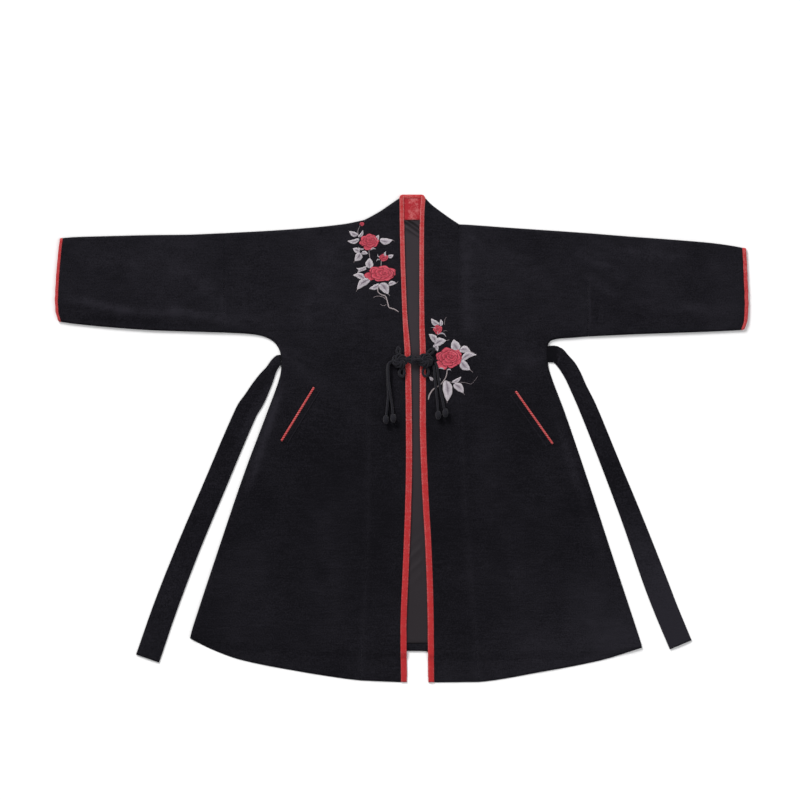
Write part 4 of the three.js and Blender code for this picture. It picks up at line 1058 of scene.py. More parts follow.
# ---------- stage ----------
class COAT_OT_camera(bpy.types.Operator):
    """The camera, straight above the coat"""

    bl_idname = "coat.camera"
    bl_label = "Camera"

    def execute(self, context):
        studio = context.scene.coat_studio
        data = bpy.data.cameras.new("camera")
        data.type = "ORTHO"
        data.ortho_scale = studio.view_width
        data.lens = 85
        camera = bpy.data.objects.new("camera", data)
        camera.location = (studio.view_x, studio.view_y, studio.height)
        context.scene.collection.objects.link(camera)
        context.scene.camera = camera
        return {"FINISHED"}


def soft_light(name, direction, strength, degrees, colour):
    """A far, wide light that comes from a direction, so that the floor stays even."""
    data = bpy.data.lights.new(name, "SUN")
    data.energy, data.angle, data.color = strength, math.radians(degrees), colour
    light = bpy.data.objects.new(name, data)
    light.location = direction
    light.rotation_euler = (-Vector(direction)).to_track_quat("-Z", "Y").to_euler()
    bpy.context.scene.collection.objects.link(light)


FLOOR_HALF = 6.0
KEY_COLOUR = (1.0, 0.99, 0.98)
FILL_COLOUR = (0.98, 0.985, 1.0)


class COAT_OT_studio(bpy.types.Operator):
    """The pale floor and the soft lights"""

    bl_idname = "coat.studio"
    bl_label = "Studio"

    def execute(self, context):
        studio = context.scene.coat_studio
        bm = bmesh.new()
        bmesh.ops.create_grid(bm, x_segments=8, y_segments=8, size=FLOOR_HALF)
        mesh = bpy.data.meshes.new("floor")
        bm.to_mesh(mesh)
        bm.free()
        floor = bpy.data.objects.new("floor", mesh)
        context.scene.collection.objects.link(floor)
        floor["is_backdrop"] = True
        material, w, shader, coords = new_material("studio floor")
        grain = w.noise(coords.outputs["Object"], 40.0, 3.0)
        colour = w.mix(grain, *shades(colours().floor, 0.985, 1.0))
        w.fill(shader, Base_Color=colour, Roughness=0.95, Specular_IOR_Level=0.0)
        mesh.materials.append(material)

        soft_light("key light", (-1.5, 2.6, 1.9), studio.key, 24, KEY_COLOUR)
        soft_light("fill light", (2.3, -0.9, 2.4), studio.fill, 50, FILL_COLOUR)
        world = bpy.data.worlds.new("studio sky")
        world.use_nodes = True
        background = world.node_tree.nodes["Background"]
        background.inputs["Color"].default_value = (1.0, 1.0, 1.0, 1)
        background.inputs["Strength"].default_value = studio.sky
        context.scene.world = world
        context.scene.view_settings.view_transform = "Standard"
        context.scene.view_settings.look = "None"
        return {"FINISHED"}


# ---------- cords ----------
# A woven knot's cord goes this many times round, with this many waves.
ROUNDS = 4
WAVES = 7
POLE_TILT = 1.32  # how far a ball's cord swings towards each pole, in radians
BALL_CORD = 4.0  # the thickness of the cord in an end knot, in millimetres


def along_route(points, count):
    """Points evenly along a smooth route, with its directions."""
    curve = Curve(points)
    shares = steps(count)
    return curve, [curve.at(s) for s in shares], [curve.along(s) for s in shares]


def cord_rings(places, directions, radius, sides):
    """A ring of points round each place of a cord, square to its direction."""
    rings = []
    for place, along in zip(places, directions):
        side = np.cross((0, 0, 1), along)
        side = side / max(np.linalg.norm(side), 1e-6)
        up = np.cross(along, side)
        rings.append([
            tuple(place + radius * (math.cos(a) * side + math.sin(a) * up))
            for a in (2 * math.pi * i / sides for i in range(sides))
        ])
    return rings


def closed_cord(bm, route, radius, sides=12):
    """A closed round of cord along a loop of points."""
    route = [np.array(point) for point in route]
    runs = [b - a for a, b in zip([route[-1], *route[:-1]], [*route[1:], route[0]])]
    runs = [run / np.linalg.norm(run) for run in runs]
    rings = cord_rings([*route, route[0]], [*runs, runs[0]], radius, sides)
    made = swept(bm, rings, closed=True, capped=False)
    bmesh.ops.remove_doubles(bm, verts=made, dist=1e-7)


def open_cord(bm, points, cord, count):
    _, places, directions = along_route(points, count)
    swept(bm, cord_rings(places, directions, cord / 2, 12))


def woven_route(count, place):
    """The points of a closed cord, whose place is given for each angle of one turn."""
    return [place(2 * math.pi * n / count) for n in range(count)]


def woven_ball(bm, centre, radius, cord, wide=1.0, tall=1.14):
    """A ball knot: one cord that goes four times round a ball, over and under itself."""

    def place(t):
        tilt = POLE_TILT * math.sin(WAVES * t)
        reach = radius - cord / 2 - 0.28 * cord * (1 + math.cos(2 * WAVES * t))
        return (
            centre[0] + wide * reach * math.cos(tilt) * math.cos(ROUNDS * t),
            centre[1] + tall * reach * math.sin(tilt),
            centre[2] + reach * math.cos(tilt) * math.sin(ROUNDS * t),
        )

    closed_cord(bm, woven_route(200, place), cord / 2, 8)
    core = (radius - 0.62 * cord) * MM
    ball = bmesh.ops.create_uvsphere(bm, u_segments=20, v_segments=14, radius=core)
    bmesh.ops.scale(bm, verts=ball["verts"], vec=(wide, tall, 1.0))
    bmesh.ops.translate(bm, verts=ball["verts"], vec=Vector(centre) * MM)


class COAT_OT_cord_tails(bpy.types.Operator):
    """The four free tails of the fastening, each with a ball knot on its end"""

    bl_idname = "coat.cord_tails"
    bl_label = "Cord Tails"

    def execute(self, context):
        for side in SIDES.values():
            for n, (table, knot) in enumerate(side["tails"], 1):
                self.tail(side, f"{side['name']}_{n}", table, knot)
        return {"FINISHED"}

    def tail(self, side, label, table, knot):
        cord, ball = sizes().cord / MM, sizes().end_knot / MM
        points = [
            (*flat(side, out, drop), front_top(side, out, drop) + GAP + cord / 2 + lift)
            for out, drop, lift in table
        ]
        curve, places, directions = along_route(points, TAIL_CELLS)
        bm = bmesh.new()
        swept(bm, cord_rings(places, directions, cord / 2, 14))
        face_outwards(bm)
        tail = cord_piece(f"cord_tail_{label}", bm, f"frog_tail_{label}")
        bm = bmesh.new()
        centre = (*flat(side, *knot), front_top(side, *knot) + GAP + ball / 2)
        woven_ball(bm, centre, ball / 2, BALL_CORD)
        face_outwards(bm)
        end = cord_piece(f"ball_knot_{label}", bm, f"frog_end_knot_{label}")
        [v * MM for v in points[0]]
        [[v * MM for v in p] for p in places]


# ---------- back, collar and lining ----------
def inset_line(curve, shares, inset):
    """Points beside a curve, at some of its shares."""
    line = []
    for share in shares:
        point, along = curve.at(share), curve.along(share)
        line.append((point[0] - along[1] * inset, point[1] + along[0] * inset))
    return line


def back_half(side):
    """One half of the back's outline, a little inside the fronts'."""
    shoulder = inset_line(Curve(side["shoulder"]), steps(SHOULDER_CELLS), BACK_INSET)
    under = Curve(side["underarm"])
    arm = inset_line(under, [0.985 * s for s in steps(SIDE_CELLS)], BACK_INSET)
    seam = side["sleeve_seam"] - GAP / 2
    arm = [(min(o, seam) if d < side["corner_drop"] else o, d) for o, d in arm]
    arm = [(o, d) for o, d in arm if d < back_hem(side, o) - 3]
    shoulder = [(min(o, seam), max(d, NECK_SEAM_DROP)) for o, d in shoulder]
    outs = [arm[-1][0] * (1 - s) for s in steps(BACK_HEM_CELLS)]
    return placed(side, [*shoulder, *arm, *[(out, back_hem(side, out)) for out in outs]])


def clean_outline(outline):
    """Drops points that repeat the one before them."""
    kept = []
    for point in outline:
        if not kept or math.dist(point, kept[-1]) > 0.2:
            kept.append(tuple(point))
    if math.dist(kept[0], kept[-1]) < 0.2:
        kept.pop()
    return kept


def spread(drops, ends, count, height):
    """Rows of points across a cloth, between its two ends at each drop."""
    rows = []
    for drop in drops:
        first, last = ends(drop)
        across = [lerp(first, last, t) for t in steps(count)]
        rows.append([(x, TOP_Y - drop, height(x, drop)) for x in across])
    return rows


def across_neck(out_right, out_left):
    """The places of two distances from the centre front, one on each side."""
    return flat(SIDES["right"], out_right, 0)[0], flat(SIDES["left"], out_left, 0)[0]


def lining_ends(_):
    return across_neck(LINING_REACH["right"], LINING_REACH["left"])


class COAT_OT_back(bpy.types.Operator):
    """The back of the coat, the back of its collar, and the turned-up hem"""

    bl_idname = "coat.back"
    bl_label = "Back"

    def execute(self, context):
        right, left = back_half(SIDES["right"]), back_half(SIDES["left"])
        outline = clean_outline([*right, *reversed(left)])
        bm = cut_cloth(outline, (0.8, 1.8), BACK_CELL)
        rim = [*outline, outline[0]]
        gaps = gaps_to([spot(v) for v in bm.verts], rim)
        for v, gap in zip(bm.verts, gaps):
            v.co.z = BACK_TOP * MM * (0.55 + 0.45 * min(1.0, gap / 1.8) ** 0.5)
        thicken(bm, BACK_CLOTH)
        black_piece("velvet_back", bm, "back")

        self.hem_fold()
        self.collar_back()
        return {"FINISHED"}

    def hem_fold(self):
        """The strip of the back's hem that shows below the lining."""
        last = back_hem(SIDES["left"], LINING_REACH["left"]) - 1
        drops = [lerp(LINING_DROP + GAP, last, s) for s in steps(HEM_FOLD_CELLS[0])]

        def height(x, drop):
            edge = 0.35 if drop in (drops[0], drops[-1]) else 1.0
            return BACK_TOP + 1.3 * edge + 0.25 * noise.noise(Vector((x / 14, drop / 9, 1)))

        bm = bmesh.new()
        swept(bm, spread(drops, lining_ends, HEM_FOLD_CELLS[1], height), closed=False)
        thicken(bm, HEM_FOLD_CLOTH)
        black_piece("velvet_hem_fold", bm)

    def collar_back(self):
        high, low = NECK_BINDING + GAP, NECK_SEAM_DROP - GAP
        halves = []
        for side in (SIDES["right"], SIDES["left"]):
            edge = inset_line(Curve(side["collar"]), [lerp(0.12, 1, s) for s in steps(12)],
                              BACK_INSET)
            edge = [(o, d) for o, d in edge if high < d < low - 1]
            half = [(edge[0][0] - 8, high), *edge, (edge[-1][0] - 2, low)]
            halves.append(placed(side, half))
        outline = clean_outline([*halves[0], *reversed(halves[1])])
        bm = cut_cloth(outline, (0.8,), COLLAR_CELL)
        for v in bm.verts:
            v.co.z = BACK_TOP * MM
        thicken(bm, BACK_CLOTH)
        black_piece("velvet_collar_back", bm, "collar_back")


# The lining's slanting pulls below the collar, the painted shade in the valleys between them, and
# its crinkles lower down: place across the slant, half width, and rise or darkness of the painted
# shade.
PULLS = [(2.5, 2.4, 2.2), (16, 3, 2), (-15, 4, 2.4)]
SHADED_VALLEYS = [(-4.5, 3.4, 0.75), (8.5, 3.8, 0.85), (-24, 5, 0.3)]
CRINKLES = [(-62, 7, 1.1), (-30, 5, 0.9), (-6, 6, 1.5), (22, 5, 1.2), (50, 8, 1)]
CRINKLE_DROP = 745


def added_humps(table, place):
    return sum(rise * hump(place - at, half) for at, half, rise in table)


def across_pulls(x, drop):
    return (x - CENTRE_X) - 1.39 * (drop - 66)


class COAT_OT_lining(bpy.types.Operator):
    """The lining between the fronts, and the red facing inside the collar"""

    bl_idname = "coat.lining"
    bl_label = "Lining and Facing"

    def execute(self, context):
        self.lining()
        self.facing()
        return {"FINISHED"}

    def lining(self):
        bend = 98  # the drop below which the rows lie further apart
        drops = [lerp(FACING_DROP + GAP, bend, s) for s in steps(COLLAR_LINING_CELLS)][:-1]
        drops += [lerp(bend, LINING_DROP, s) for s in steps(LINING_CELLS[0])]
        bm = bmesh.new()
        swept(bm, spread(drops, lining_ends, LINING_CELLS[1], self.height), closed=False)
        thicken(bm, LINING_CLOTH)
        mark_pile_and_light(bm, self.painted_valley_shade)
        piece = finished("lining_cloth", bm, lining_satin(), "charcoal_lining", "back_lining")
        x0, x1 = lining_ends(0)

    def height(self, x, drop):
        """Slanting pulls below the collar, and small crinkles lower down."""
        from_edge = 17 - abs(x - CENTRE_X)
        pulled = smooth((drop - 51) / 5) * smooth((96 - drop) / 14) * smooth(from_edge / 6)
        crinkled = hump(drop - CRINKLE_DROP, 55) * smooth((from_edge + 4) / 6)
        raked = (drop - CRINKLE_DROP) + 0.9 * (x - CENTRE_X)
        rise = pulled * added_humps(PULLS, across_pulls(x, drop))
        rise += crinkled * added_humps(CRINKLES, raked)
        rise += 0.22 * noise.noise(Vector((x / 26, drop / 60, 9))) + 0.1
        return LINING_BOTTOM + 0.8 + rise

    def painted_valley_shade(self, v):
        """Painted shade on the satin, from 0 to 1: under the collar, in the valleys between its
        pulls and along its lower edge.
        """
        x, y = spot(v)
        drop = TOP_Y - y
        painted_shade = 0.35 * smooth((66 - drop) / 12)
        painted_shade += smooth((88 - drop) / 12) * added_humps(SHADED_VALLEYS, across_pulls(x, drop))
        return min(1.0, painted_shade + 0.3 * smooth((drop - LINING_DROP + 9) / 6))

    def facing(self):
        seam = NECK_BINDING + GAP
        out_right = reader([(seam, 25), (26, 44), (FACING_DROP, 48)])
        out_left = reader([(seam, 22), (26, 38), (FACING_DROP, 46)])
        first = NECK_BINDING - 1

        def ends(drop):
            return across_neck(out_right(drop), out_left(drop))

        def height(x, drop):
            s = (drop - first) / (FACING_DROP - first)
            crown = 1.3 * hump(x - CENTRE_X, 11) - 0.3
            edge = -0.8 * smooth((s - 0.93) / 0.07)
            ripple = 0.35 * noise.noise(Vector((x / 13, drop / 12, 2)))
            level = lerp(4.6, LINING_BOTTOM + 2.2 + crown + edge, smooth(s / 0.3))
            return level + ripple * smooth(s / 0.15)

        # Painted light on the facing: a painted highlight down its middle and painted shade
        # towards the bindings, paler again further out, over uneven pressed pile.
        def mark(v):
            from_middle = abs(v.co.x / MM - CENTRE_X - 0.5)
            pressed = 0.4 * noise.noise(v.co / MM / 9) + 0.4 * noise.noise(v.co / MM / 3)
            paler = 0.25 * smooth((from_middle - 17) / 4)
            return 0.14 + pressed - 0.4 * smooth((from_middle - 8) / 5) + paler

        bm = bmesh.new()
        drops = [lerp(first, FACING_DROP, s) for s in steps(FACING_CELLS[0])]
        swept(bm, spread(drops, ends, FACING_CELLS[1], height), closed=False)
        thicken(bm, FACING_CLOTH)
        mark_pile_and_light(bm, mark)
        piece = finished("red_neck_facing", bm, facing_velvet(), "red_velvet", "neck_facing")
        top = placed(SIDES["right"], [(25, seam), (48, FACING_DROP)])
        low = placed(SIDES["left"], [(46, FACING_DROP), (22, seam)])


# ---------- fronts and bands ----------
def front_parts(side):
    """The outline of a front, and which parts of it are rolled and which are seams."""
    seam_out = side["sleeve_seam"] - SEAM / 2
    band_out = reader(side["band_seam"])
    hem_drop = reader(side["hem"])
    shoulder = Curve(side["shoulder"])
    start = shoulder.share_at_out(band_out(60) + GAP)
    top = [shoulder.at(lerp(start, 1, s)) for s in steps(FRONT_TOP_CELLS)]
    top = [(min(o, seam_out), d) for o, d in top]
    under = [
        (min(o, seam_out) if d < side["corner_drop"] else o, d)
        for o, d in Curve(side["underarm"]).even(FRONT_EDGE_CELL)
    ]
    hem_in = band_out(HEM_CORNER) + GAP
    outs = [lerp(under[-1][0], hem_in, s) for s in steps(FRONT_HEM_CELLS)]
    hem = [(out, hem_drop(out)) for out in outs]
    first, last = hem[-1][1], top[0][1]
    drops = [lerp(first, last, s) for s in steps(FRONT_SEAM_CELLS)]
    band = [(band_out(drop) + SEAM / 2, drop) for drop in drops]
    sleeve = [(seam_out, lerp(top[-1][1], under[0][1], s)) for s in steps(ARMHOLE_CELLS)]
    outline = clean_outline([*top, *sleeve[1:-1], *under, *hem[1:], *band[1:-1]])
    return outline, [[*under, *hem[1:]], top], [sleeve, band]


class COAT_OT_fronts(bpy.types.Operator):
    """The two fronts, from the shoulder to the hem"""

    bl_idname = "coat.fronts"
    bl_label = "Fronts"

    def execute(self, context):
        for side in SIDES.values():
            self.front(side)
        return {"FINISHED"}

    def front(self, side):
        outline, rolled, seams = front_parts(side)
        places = placed(side, outline)
        bm = cut_cloth(places, (*EDGE_STEPS[1:], ROLL), sizes().cell)
        lift_cloth(
            bm, side, [placed(side, line) for line in rolled],
            [placed(side, line) for line in seams],
        )
        thicken(bm, FRONT_CLOTH)
        paint_fold_highlights(bm, side)
        piece = black_piece(f"velvet_front_{side['name']}", bm, f"front_{side['name']}")


def lift_cloth(bm, side, rolled, seams):
    """Lifts a flat panel to its place: rolled down at its edges, and dipping at its seams."""
    points = [spot(v) for v in bm.verts]
    roll_gap = np.minimum(*[gaps_to(points, line) for line in rolled])
    seam_gap = np.minimum(*[gaps_to(points, line) for line in seams])
    for v, (x, y), from_roll, from_seam in zip(bm.verts, points, roll_gap, seam_gap):
        z = front_top(side, *in_cut(side, x, y)) * roll_share(from_roll)
        v.co.z = (z + seam_shape(from_seam, from_roll)) * MM


def seam_shape(from_seam, from_roll):
    """Cloth dips into a seam and swells beside it, except where it rolls down."""
    dip = 0.3 * max(0.0, 1 - from_seam / 2.6) ** 2
    swell = 0.35 * hump(from_seam - 6, 3.5)
    return (swell - dip) * smooth(from_roll / 4)


class COAT_OT_bands(bpy.types.Operator):
    """The bands that run along both fronts and up round the neck"""

    bl_idname = "coat.bands"
    bl_label = "Bands"

    def execute(self, context):
        for side in SIDES.values():
            self.band(side)
        return {"FINISHED"}

    def band(self, side):
        corner_drop = side["collar"][-1][1]
        outer, inner = self.edges(side, corner_drop)
        rows = self.rounded_hem([
            [(lerp(o0, o1, s), lerp(d0, d1, s)) for s in self.columns()]
            for (o1, d1), (o0, d0) in zip(outer, inner)
        ])
        bm = bmesh.new()
        swept(bm, [[(*place, 0.0) for place in placed(side, row)] for row in rows],
              closed=False)
        slope = [p for p in outer if p[1] <= corner_drop + 0.5]
        seam = [p for p in outer if p[1] > corner_drop + 0.5]
        lift_cloth(bm, side, [placed(side, slope), placed(side, rows[-1])],
                   [placed(side, seam), placed(side, inner)])
        thicken(bm, FRONT_CLOTH)
        paint_fold_highlights(bm, side)
        piece = black_piece(f"velvet_band_{side['name']}", bm, f"band_{side['name']}")
        outline = clean_outline(placed(side, [*outer, *reversed(inner)]))

    def edges(self, side, corner_drop):
        """The band's outer and inner edges, point for point."""
        band_out, edge_out = reader(side["band_seam"]), reader(side["front_edge"])
        hem_drop = reader(side["hem"])
        slope = Curve(side["collar"])
        outer = [tuple(slope.at(s)) for s in steps(BAND_SLOPE_CELLS)]
        first, last = corner_drop + 3, hem_drop(band_out(HEM_CORNER))
        drops = [lerp(first, last, s) for s in steps(BAND_CELLS[0])]
        outer += [(band_out(drop) - SEAM / 2, drop) for drop in drops]
        reached = [0.0]
        for a, b in zip(outer, outer[1:]):
            reached.append(reached[-1] + math.dist(a, b))
        last = hem_drop(edge_out(HEM_DROP))
        drops = [lerp(BAND_TOP, last, far / reached[-1]) for far in reached]
        return outer, [(edge_out(drop) + GAP, drop) for drop in drops]

    def columns(self):
        """Shares across the band, closer together near its two edges."""
        near = [step / BAND_WIDTH for step in EDGE_STEPS]
        inside = [lerp(near[-1], 1 - near[-1], s) for s in steps(BAND_CELLS[1])]
        return [*near[:-1], *inside, *[1 - s for s in reversed(near[:-1])]]

    def rounded_hem(self, rows):
        """Adds rows close to the hem, so that it rounds over."""
        last, before = rows[-1], rows[-2]
        extra = []
        for step in reversed(EDGE_STEPS[1:4]):
            share = 1 - step / EDGE_STEPS[-1]
            extra.append([
                (lerp(a[0], b[0], share), lerp(a[1], b[1], share))
                for a, b in zip(before, last)
            ])
        return [*rows[:-1], *extra, last]


# ---------- red edges ----------
RAGGED = 0.9  # how far each second row of the binding's pile sticks out


def soft_section(half, high, count=14):
    """A soft half-round as (across, up), closed by a flat underside."""
    top = [
        (-half * math.cos(a), high * (0.32 + 0.68 * math.sin(a) ** 0.55))
        for a in (math.pi * i / count for i in range(count + 1))
    ]
    return [*top, (half * 0.96, 0.0), (0.0, 0.0), (-half * 0.96, 0.0)]


class COAT_OT_edge_binding(bpy.types.Operator):
    """The red velvet edge up both fronts and round the neck"""

    bl_idname = "coat.edge_binding"
    bl_label = "Edge Binding"

    def execute(self, context):
        bm = bmesh.new()
        bm.verts.layers.float.new("nap_and_light")
        for side in SIDES.values():
            self.strip(bm, side)
        self.neck(bm)
        self.hem_edge(bm, SIDES["left"])
        face_outwards(bm)
        red_piece("red_edge_binding", bm, "edge_binding")
        return {"FINISHED"}

    def strip(self, bm, side):
        """The binding of one front, ragged along its inner edge."""
        marks = bm.verts.layers.float["nap_and_light"]
        edge_out = reader(side["front_edge"])
        width = reader(BINDING_WIDTH)
        hem = reader(side["hem"])(edge_out(HEM_DROP + 1))
        rings = []
        for n, s in enumerate(steps(BINDING_CELLS)):
            drop = lerp(3, hem - 0.4, s)
            tooth = RAGGED if n % 2 and 60 < drop < hem - 10 else 0.0
            half = width(drop) / 2
            near_end = min(1.0, (hem - drop + 0.5) / 3.0)
            high = (FRONT_WALL + BINDING_STANDS) * (0.45 + 0.55 * math.sqrt(near_end))
            wobble = 0.3 * noise.noise(Vector((side["sign"], drop / 23, 4)))
            ring = []
            for across, up in soft_section(half, high):
                out = edge_out(drop) - half + across + wobble
                out -= tooth * smooth(-across / half)
                out = min(out, edge_out(drop) - 0.75 * max(0.0, 8.5 - drop))
                under = front_under(side, max(out, 0), drop) * (0.6 + 0.4 * near_end)
                pile = 0.16 * noise.noise(Vector((across / 1.7, drop / 3.1, 8)))
                ring.append((*flat(side, out, drop), under + up + (pile if up else 0)))
            rings.append(ring if side["sign"] > 0 else ring[::-1])
        for v in swept(bm, rings):
            out, drop = in_cut(side, *spot(v))
            inside = (edge_out(drop) - out) / width(drop)
            # Pale pile lines along both edges of the binding, fainter lower down; the whole
            # binding is darker towards the hem.
            dots = 0.5 + 0.9 * noise.noise(Vector((side["sign"], drop / 2.3, 1)))
            line = hump(inside - 0.93, 0.08) + 0.6 * hump(inside - 0.1, 0.08)
            drop_change = 1 - 0.45 * smooth((drop - 300) / 300)
            v[marks] = 1.4 * dots * line * drop_change + 0.06 - 0.4 * drop / 1000

    def hem_edge(self, bm, side):
        """The sliver of red that shows below the hem of one front."""
        section = ((-2.2, 0.5), (-1.4, 1.3), (0, 1.5), (0.5, 1), (0.4, 0.6), (-2, 0.4))
        rings = []
        for s in steps(NECK_CELLS):
            out = lerp(43, 133, s)
            drop = back_hem(side, out) - 0.9 + 1.9 * math.sin(math.pi * s) ** 0.5
            rings.append([(*flat(side, out, drop + down), up) for down, up in section])
        swept(bm, rings)

    def neck(self, bm):
        """The binding across the back of the neck, rounded down at its two ends."""
        top = FRONT_BOTTOM + GAP + 1.2
        section = [
            (NECK_BINDING, 0.3), (NECK_BINDING, 0.92 * top), (6.4, 0.96 * top), (4.4, top),
            (2.6, 0.98 * top), (1.3, 0.82 * top), (0.5, 0.6 * top), (0.0, 0.36 * top),
            (0.3, 0.12), (4.0, 0.1),
        ]
        first, last = CENTRE_X - 28, CENTRE_X + 25
        rings = []
        for s in steps(NECK_CELLS):
            x = lerp(first, last, s)
            from_end = min(s, 1 - s) * (last - first)
            corner = max(0.0, 1 - from_end / NECK_ROUND)
            lower = 6.5 * (1 - math.sqrt(1 - corner * corner)) if corner else 0.0
            rings.append([
                (x, TOP_Y - (drop * (1 - 0.5 * corner) + lower), z) for drop, z in section
            ])
        swept(bm, rings)


# ---------- sleeves ----------
def sleeve_ring(side, out, top, bottom, bow, inset=0.0, thin=0.0):
    """One ring of a sleeve, over the top, round the lower edge and back underneath. A ring
    can lie a little inside the sleeve's outer face."""
    width = bottom - top
    near = [*EDGE_STEPS, ROLL]
    inside = [lerp(ROLL, width - ROLL, s) for s in steps(SLEEVE_CELLS[1])][1:-1]
    across = [*near, *inside, *[width - d for d in reversed(near)]]
    fold_z = FRONT_TOP * 0.48
    cuff_bow = reader(side["cuff"])

    def share(d):
        edge = min(d, width - d)
        left = 1 - min(1.0, edge / ROLL)
        return math.sqrt(max(0.0, 1 - left * left))

    over, under = [], []
    for d in across:
        middle = 2 * d / width - 1
        o = out + bow * cuff_bow(middle)
        o += 0.7 * noise.noise(Vector((middle * 7, side["sign"] * 3, 5)))
        drop = top + min(max(d, inset), width - inset)
        x, y = flat(side, o, drop)
        rise = ridges(side, out, top + d, FOLDS) + unevenness(side, out, top + d) + 0.5
        high = FRONT_TOP + max(0.0, rise)
        over.append((x, y, lerp(fold_z, high - thin, share(d))))
        under.append((x, y, lerp(fold_z, thin + 0.1, share(d))))
    return [*over, *reversed(under[1:-1])]


class COAT_OT_sleeves(bpy.types.Operator):
    """The two sleeves, with the red edge of each cuff"""

    bl_idname = "coat.sleeves"
    bl_label = "Sleeves"

    def execute(self, context):
        for side in SIDES.values():
            self.sleeve(side)
        return {"FINISHED"}

    def sleeve(self, side):
        table = side["sleeve"]
        top, bottom, bow = (reader(table, 0, n) for n in (1, 2, 3))
        start, end = side["sleeve_seam"] + SEAM / 2, table[-1][0]
        outs = [start, start + 0.8, start + 2, start + 4]
        outs += [lerp(start + 8, end - 2, s) for s in steps(SLEEVE_CELLS[0])]
        outs += [end - 0.8, end]
        rings = []
        for out in outs:
            dip = 0.5 * max(0.0, 1 - (out - start) / 3.0) ** 2
            tuck = 0.7 * max(0.0, 1 - (end - out) / 2.0) ** 2
            ring = sleeve_ring(side, out, top(out), bottom(out), bow(out))
            rings.append([
                (x, y, z - (dip + tuck if z > 4 else 0.0)) for x, y, z in ring
            ])
        bm = bmesh.new()
        swept(bm, rings, closed=True, capped=False)
        self.wall(bm, SLEEVE_CLOTH)
        paint_fold_highlights(bm, side)
        sleeve = black_piece(f"velvet_sleeve_{side['name']}", bm, f"sleeve_{side['name']}")
        cuff = self.cuff(side, end, top(end), bottom(end), bow(end))
        girth = 2 * (bottom(end) - top(end) + CUFF_EASE)

    def wall(self, bm, thickness):
        """Gives an open tube its wall, inwards."""
        bmesh.ops.recalc_face_normals(bm, faces=bm.faces[:])
        bm.normal_update()
        centre = sum((v.co for v in bm.verts), Vector()) / len(bm.verts)
        lean = sum(
            (f.calc_center_median() - centre).z * f.normal.z * f.calc_area()
            for f in bm.faces
        )
        if lean < 0:
            bmesh.ops.reverse_faces(bm, faces=bm.faces[:])
            bm.normal_update()
        bmesh.ops.solidify(bm, geom=bm.faces[:], thickness=thickness * MM)
        smooth_faces(bm)

    def cuff(self, side, end, top, bottom, bow):
        """The binding goes out over the edge and back inside the sleeve."""
        width = side["cuff_wide"] * sizes().cuff / MM
        profile = [
            (0.0, -0.35), (0.5, 0.15), (1.6, 0.4), (3.5, 0.45), (5.5, 0.35), (7.0, 0.0),
            (7.7, -0.6), (8.0, -1.3), (7.7, -2.0), (6.8, -2.5), (4.0, -2.7), (0.0, -2.7),
        ]
        rings = []
        for along, stand in profile:
            share = along / 8.0
            rings.append(sleeve_ring(
                side, end + SEAM + share * width, top + 1.5 * share**3,
                bottom - 3.5 * share**3, bow, inset=max(0.0, -stand), thin=-stand,
            ))
        rings.append(rings[0])
        bm = bmesh.new()
        made = swept(bm, rings, closed=True, capped=False)
        bmesh.ops.remove_doubles(bm, verts=made, dist=1e-7)
        face_outwards(bm)
        rest_on_surface(bm)
        return red_piece(f"red_cuff_{side['name']}", bm, f"cuff_binding_{side['name']}")


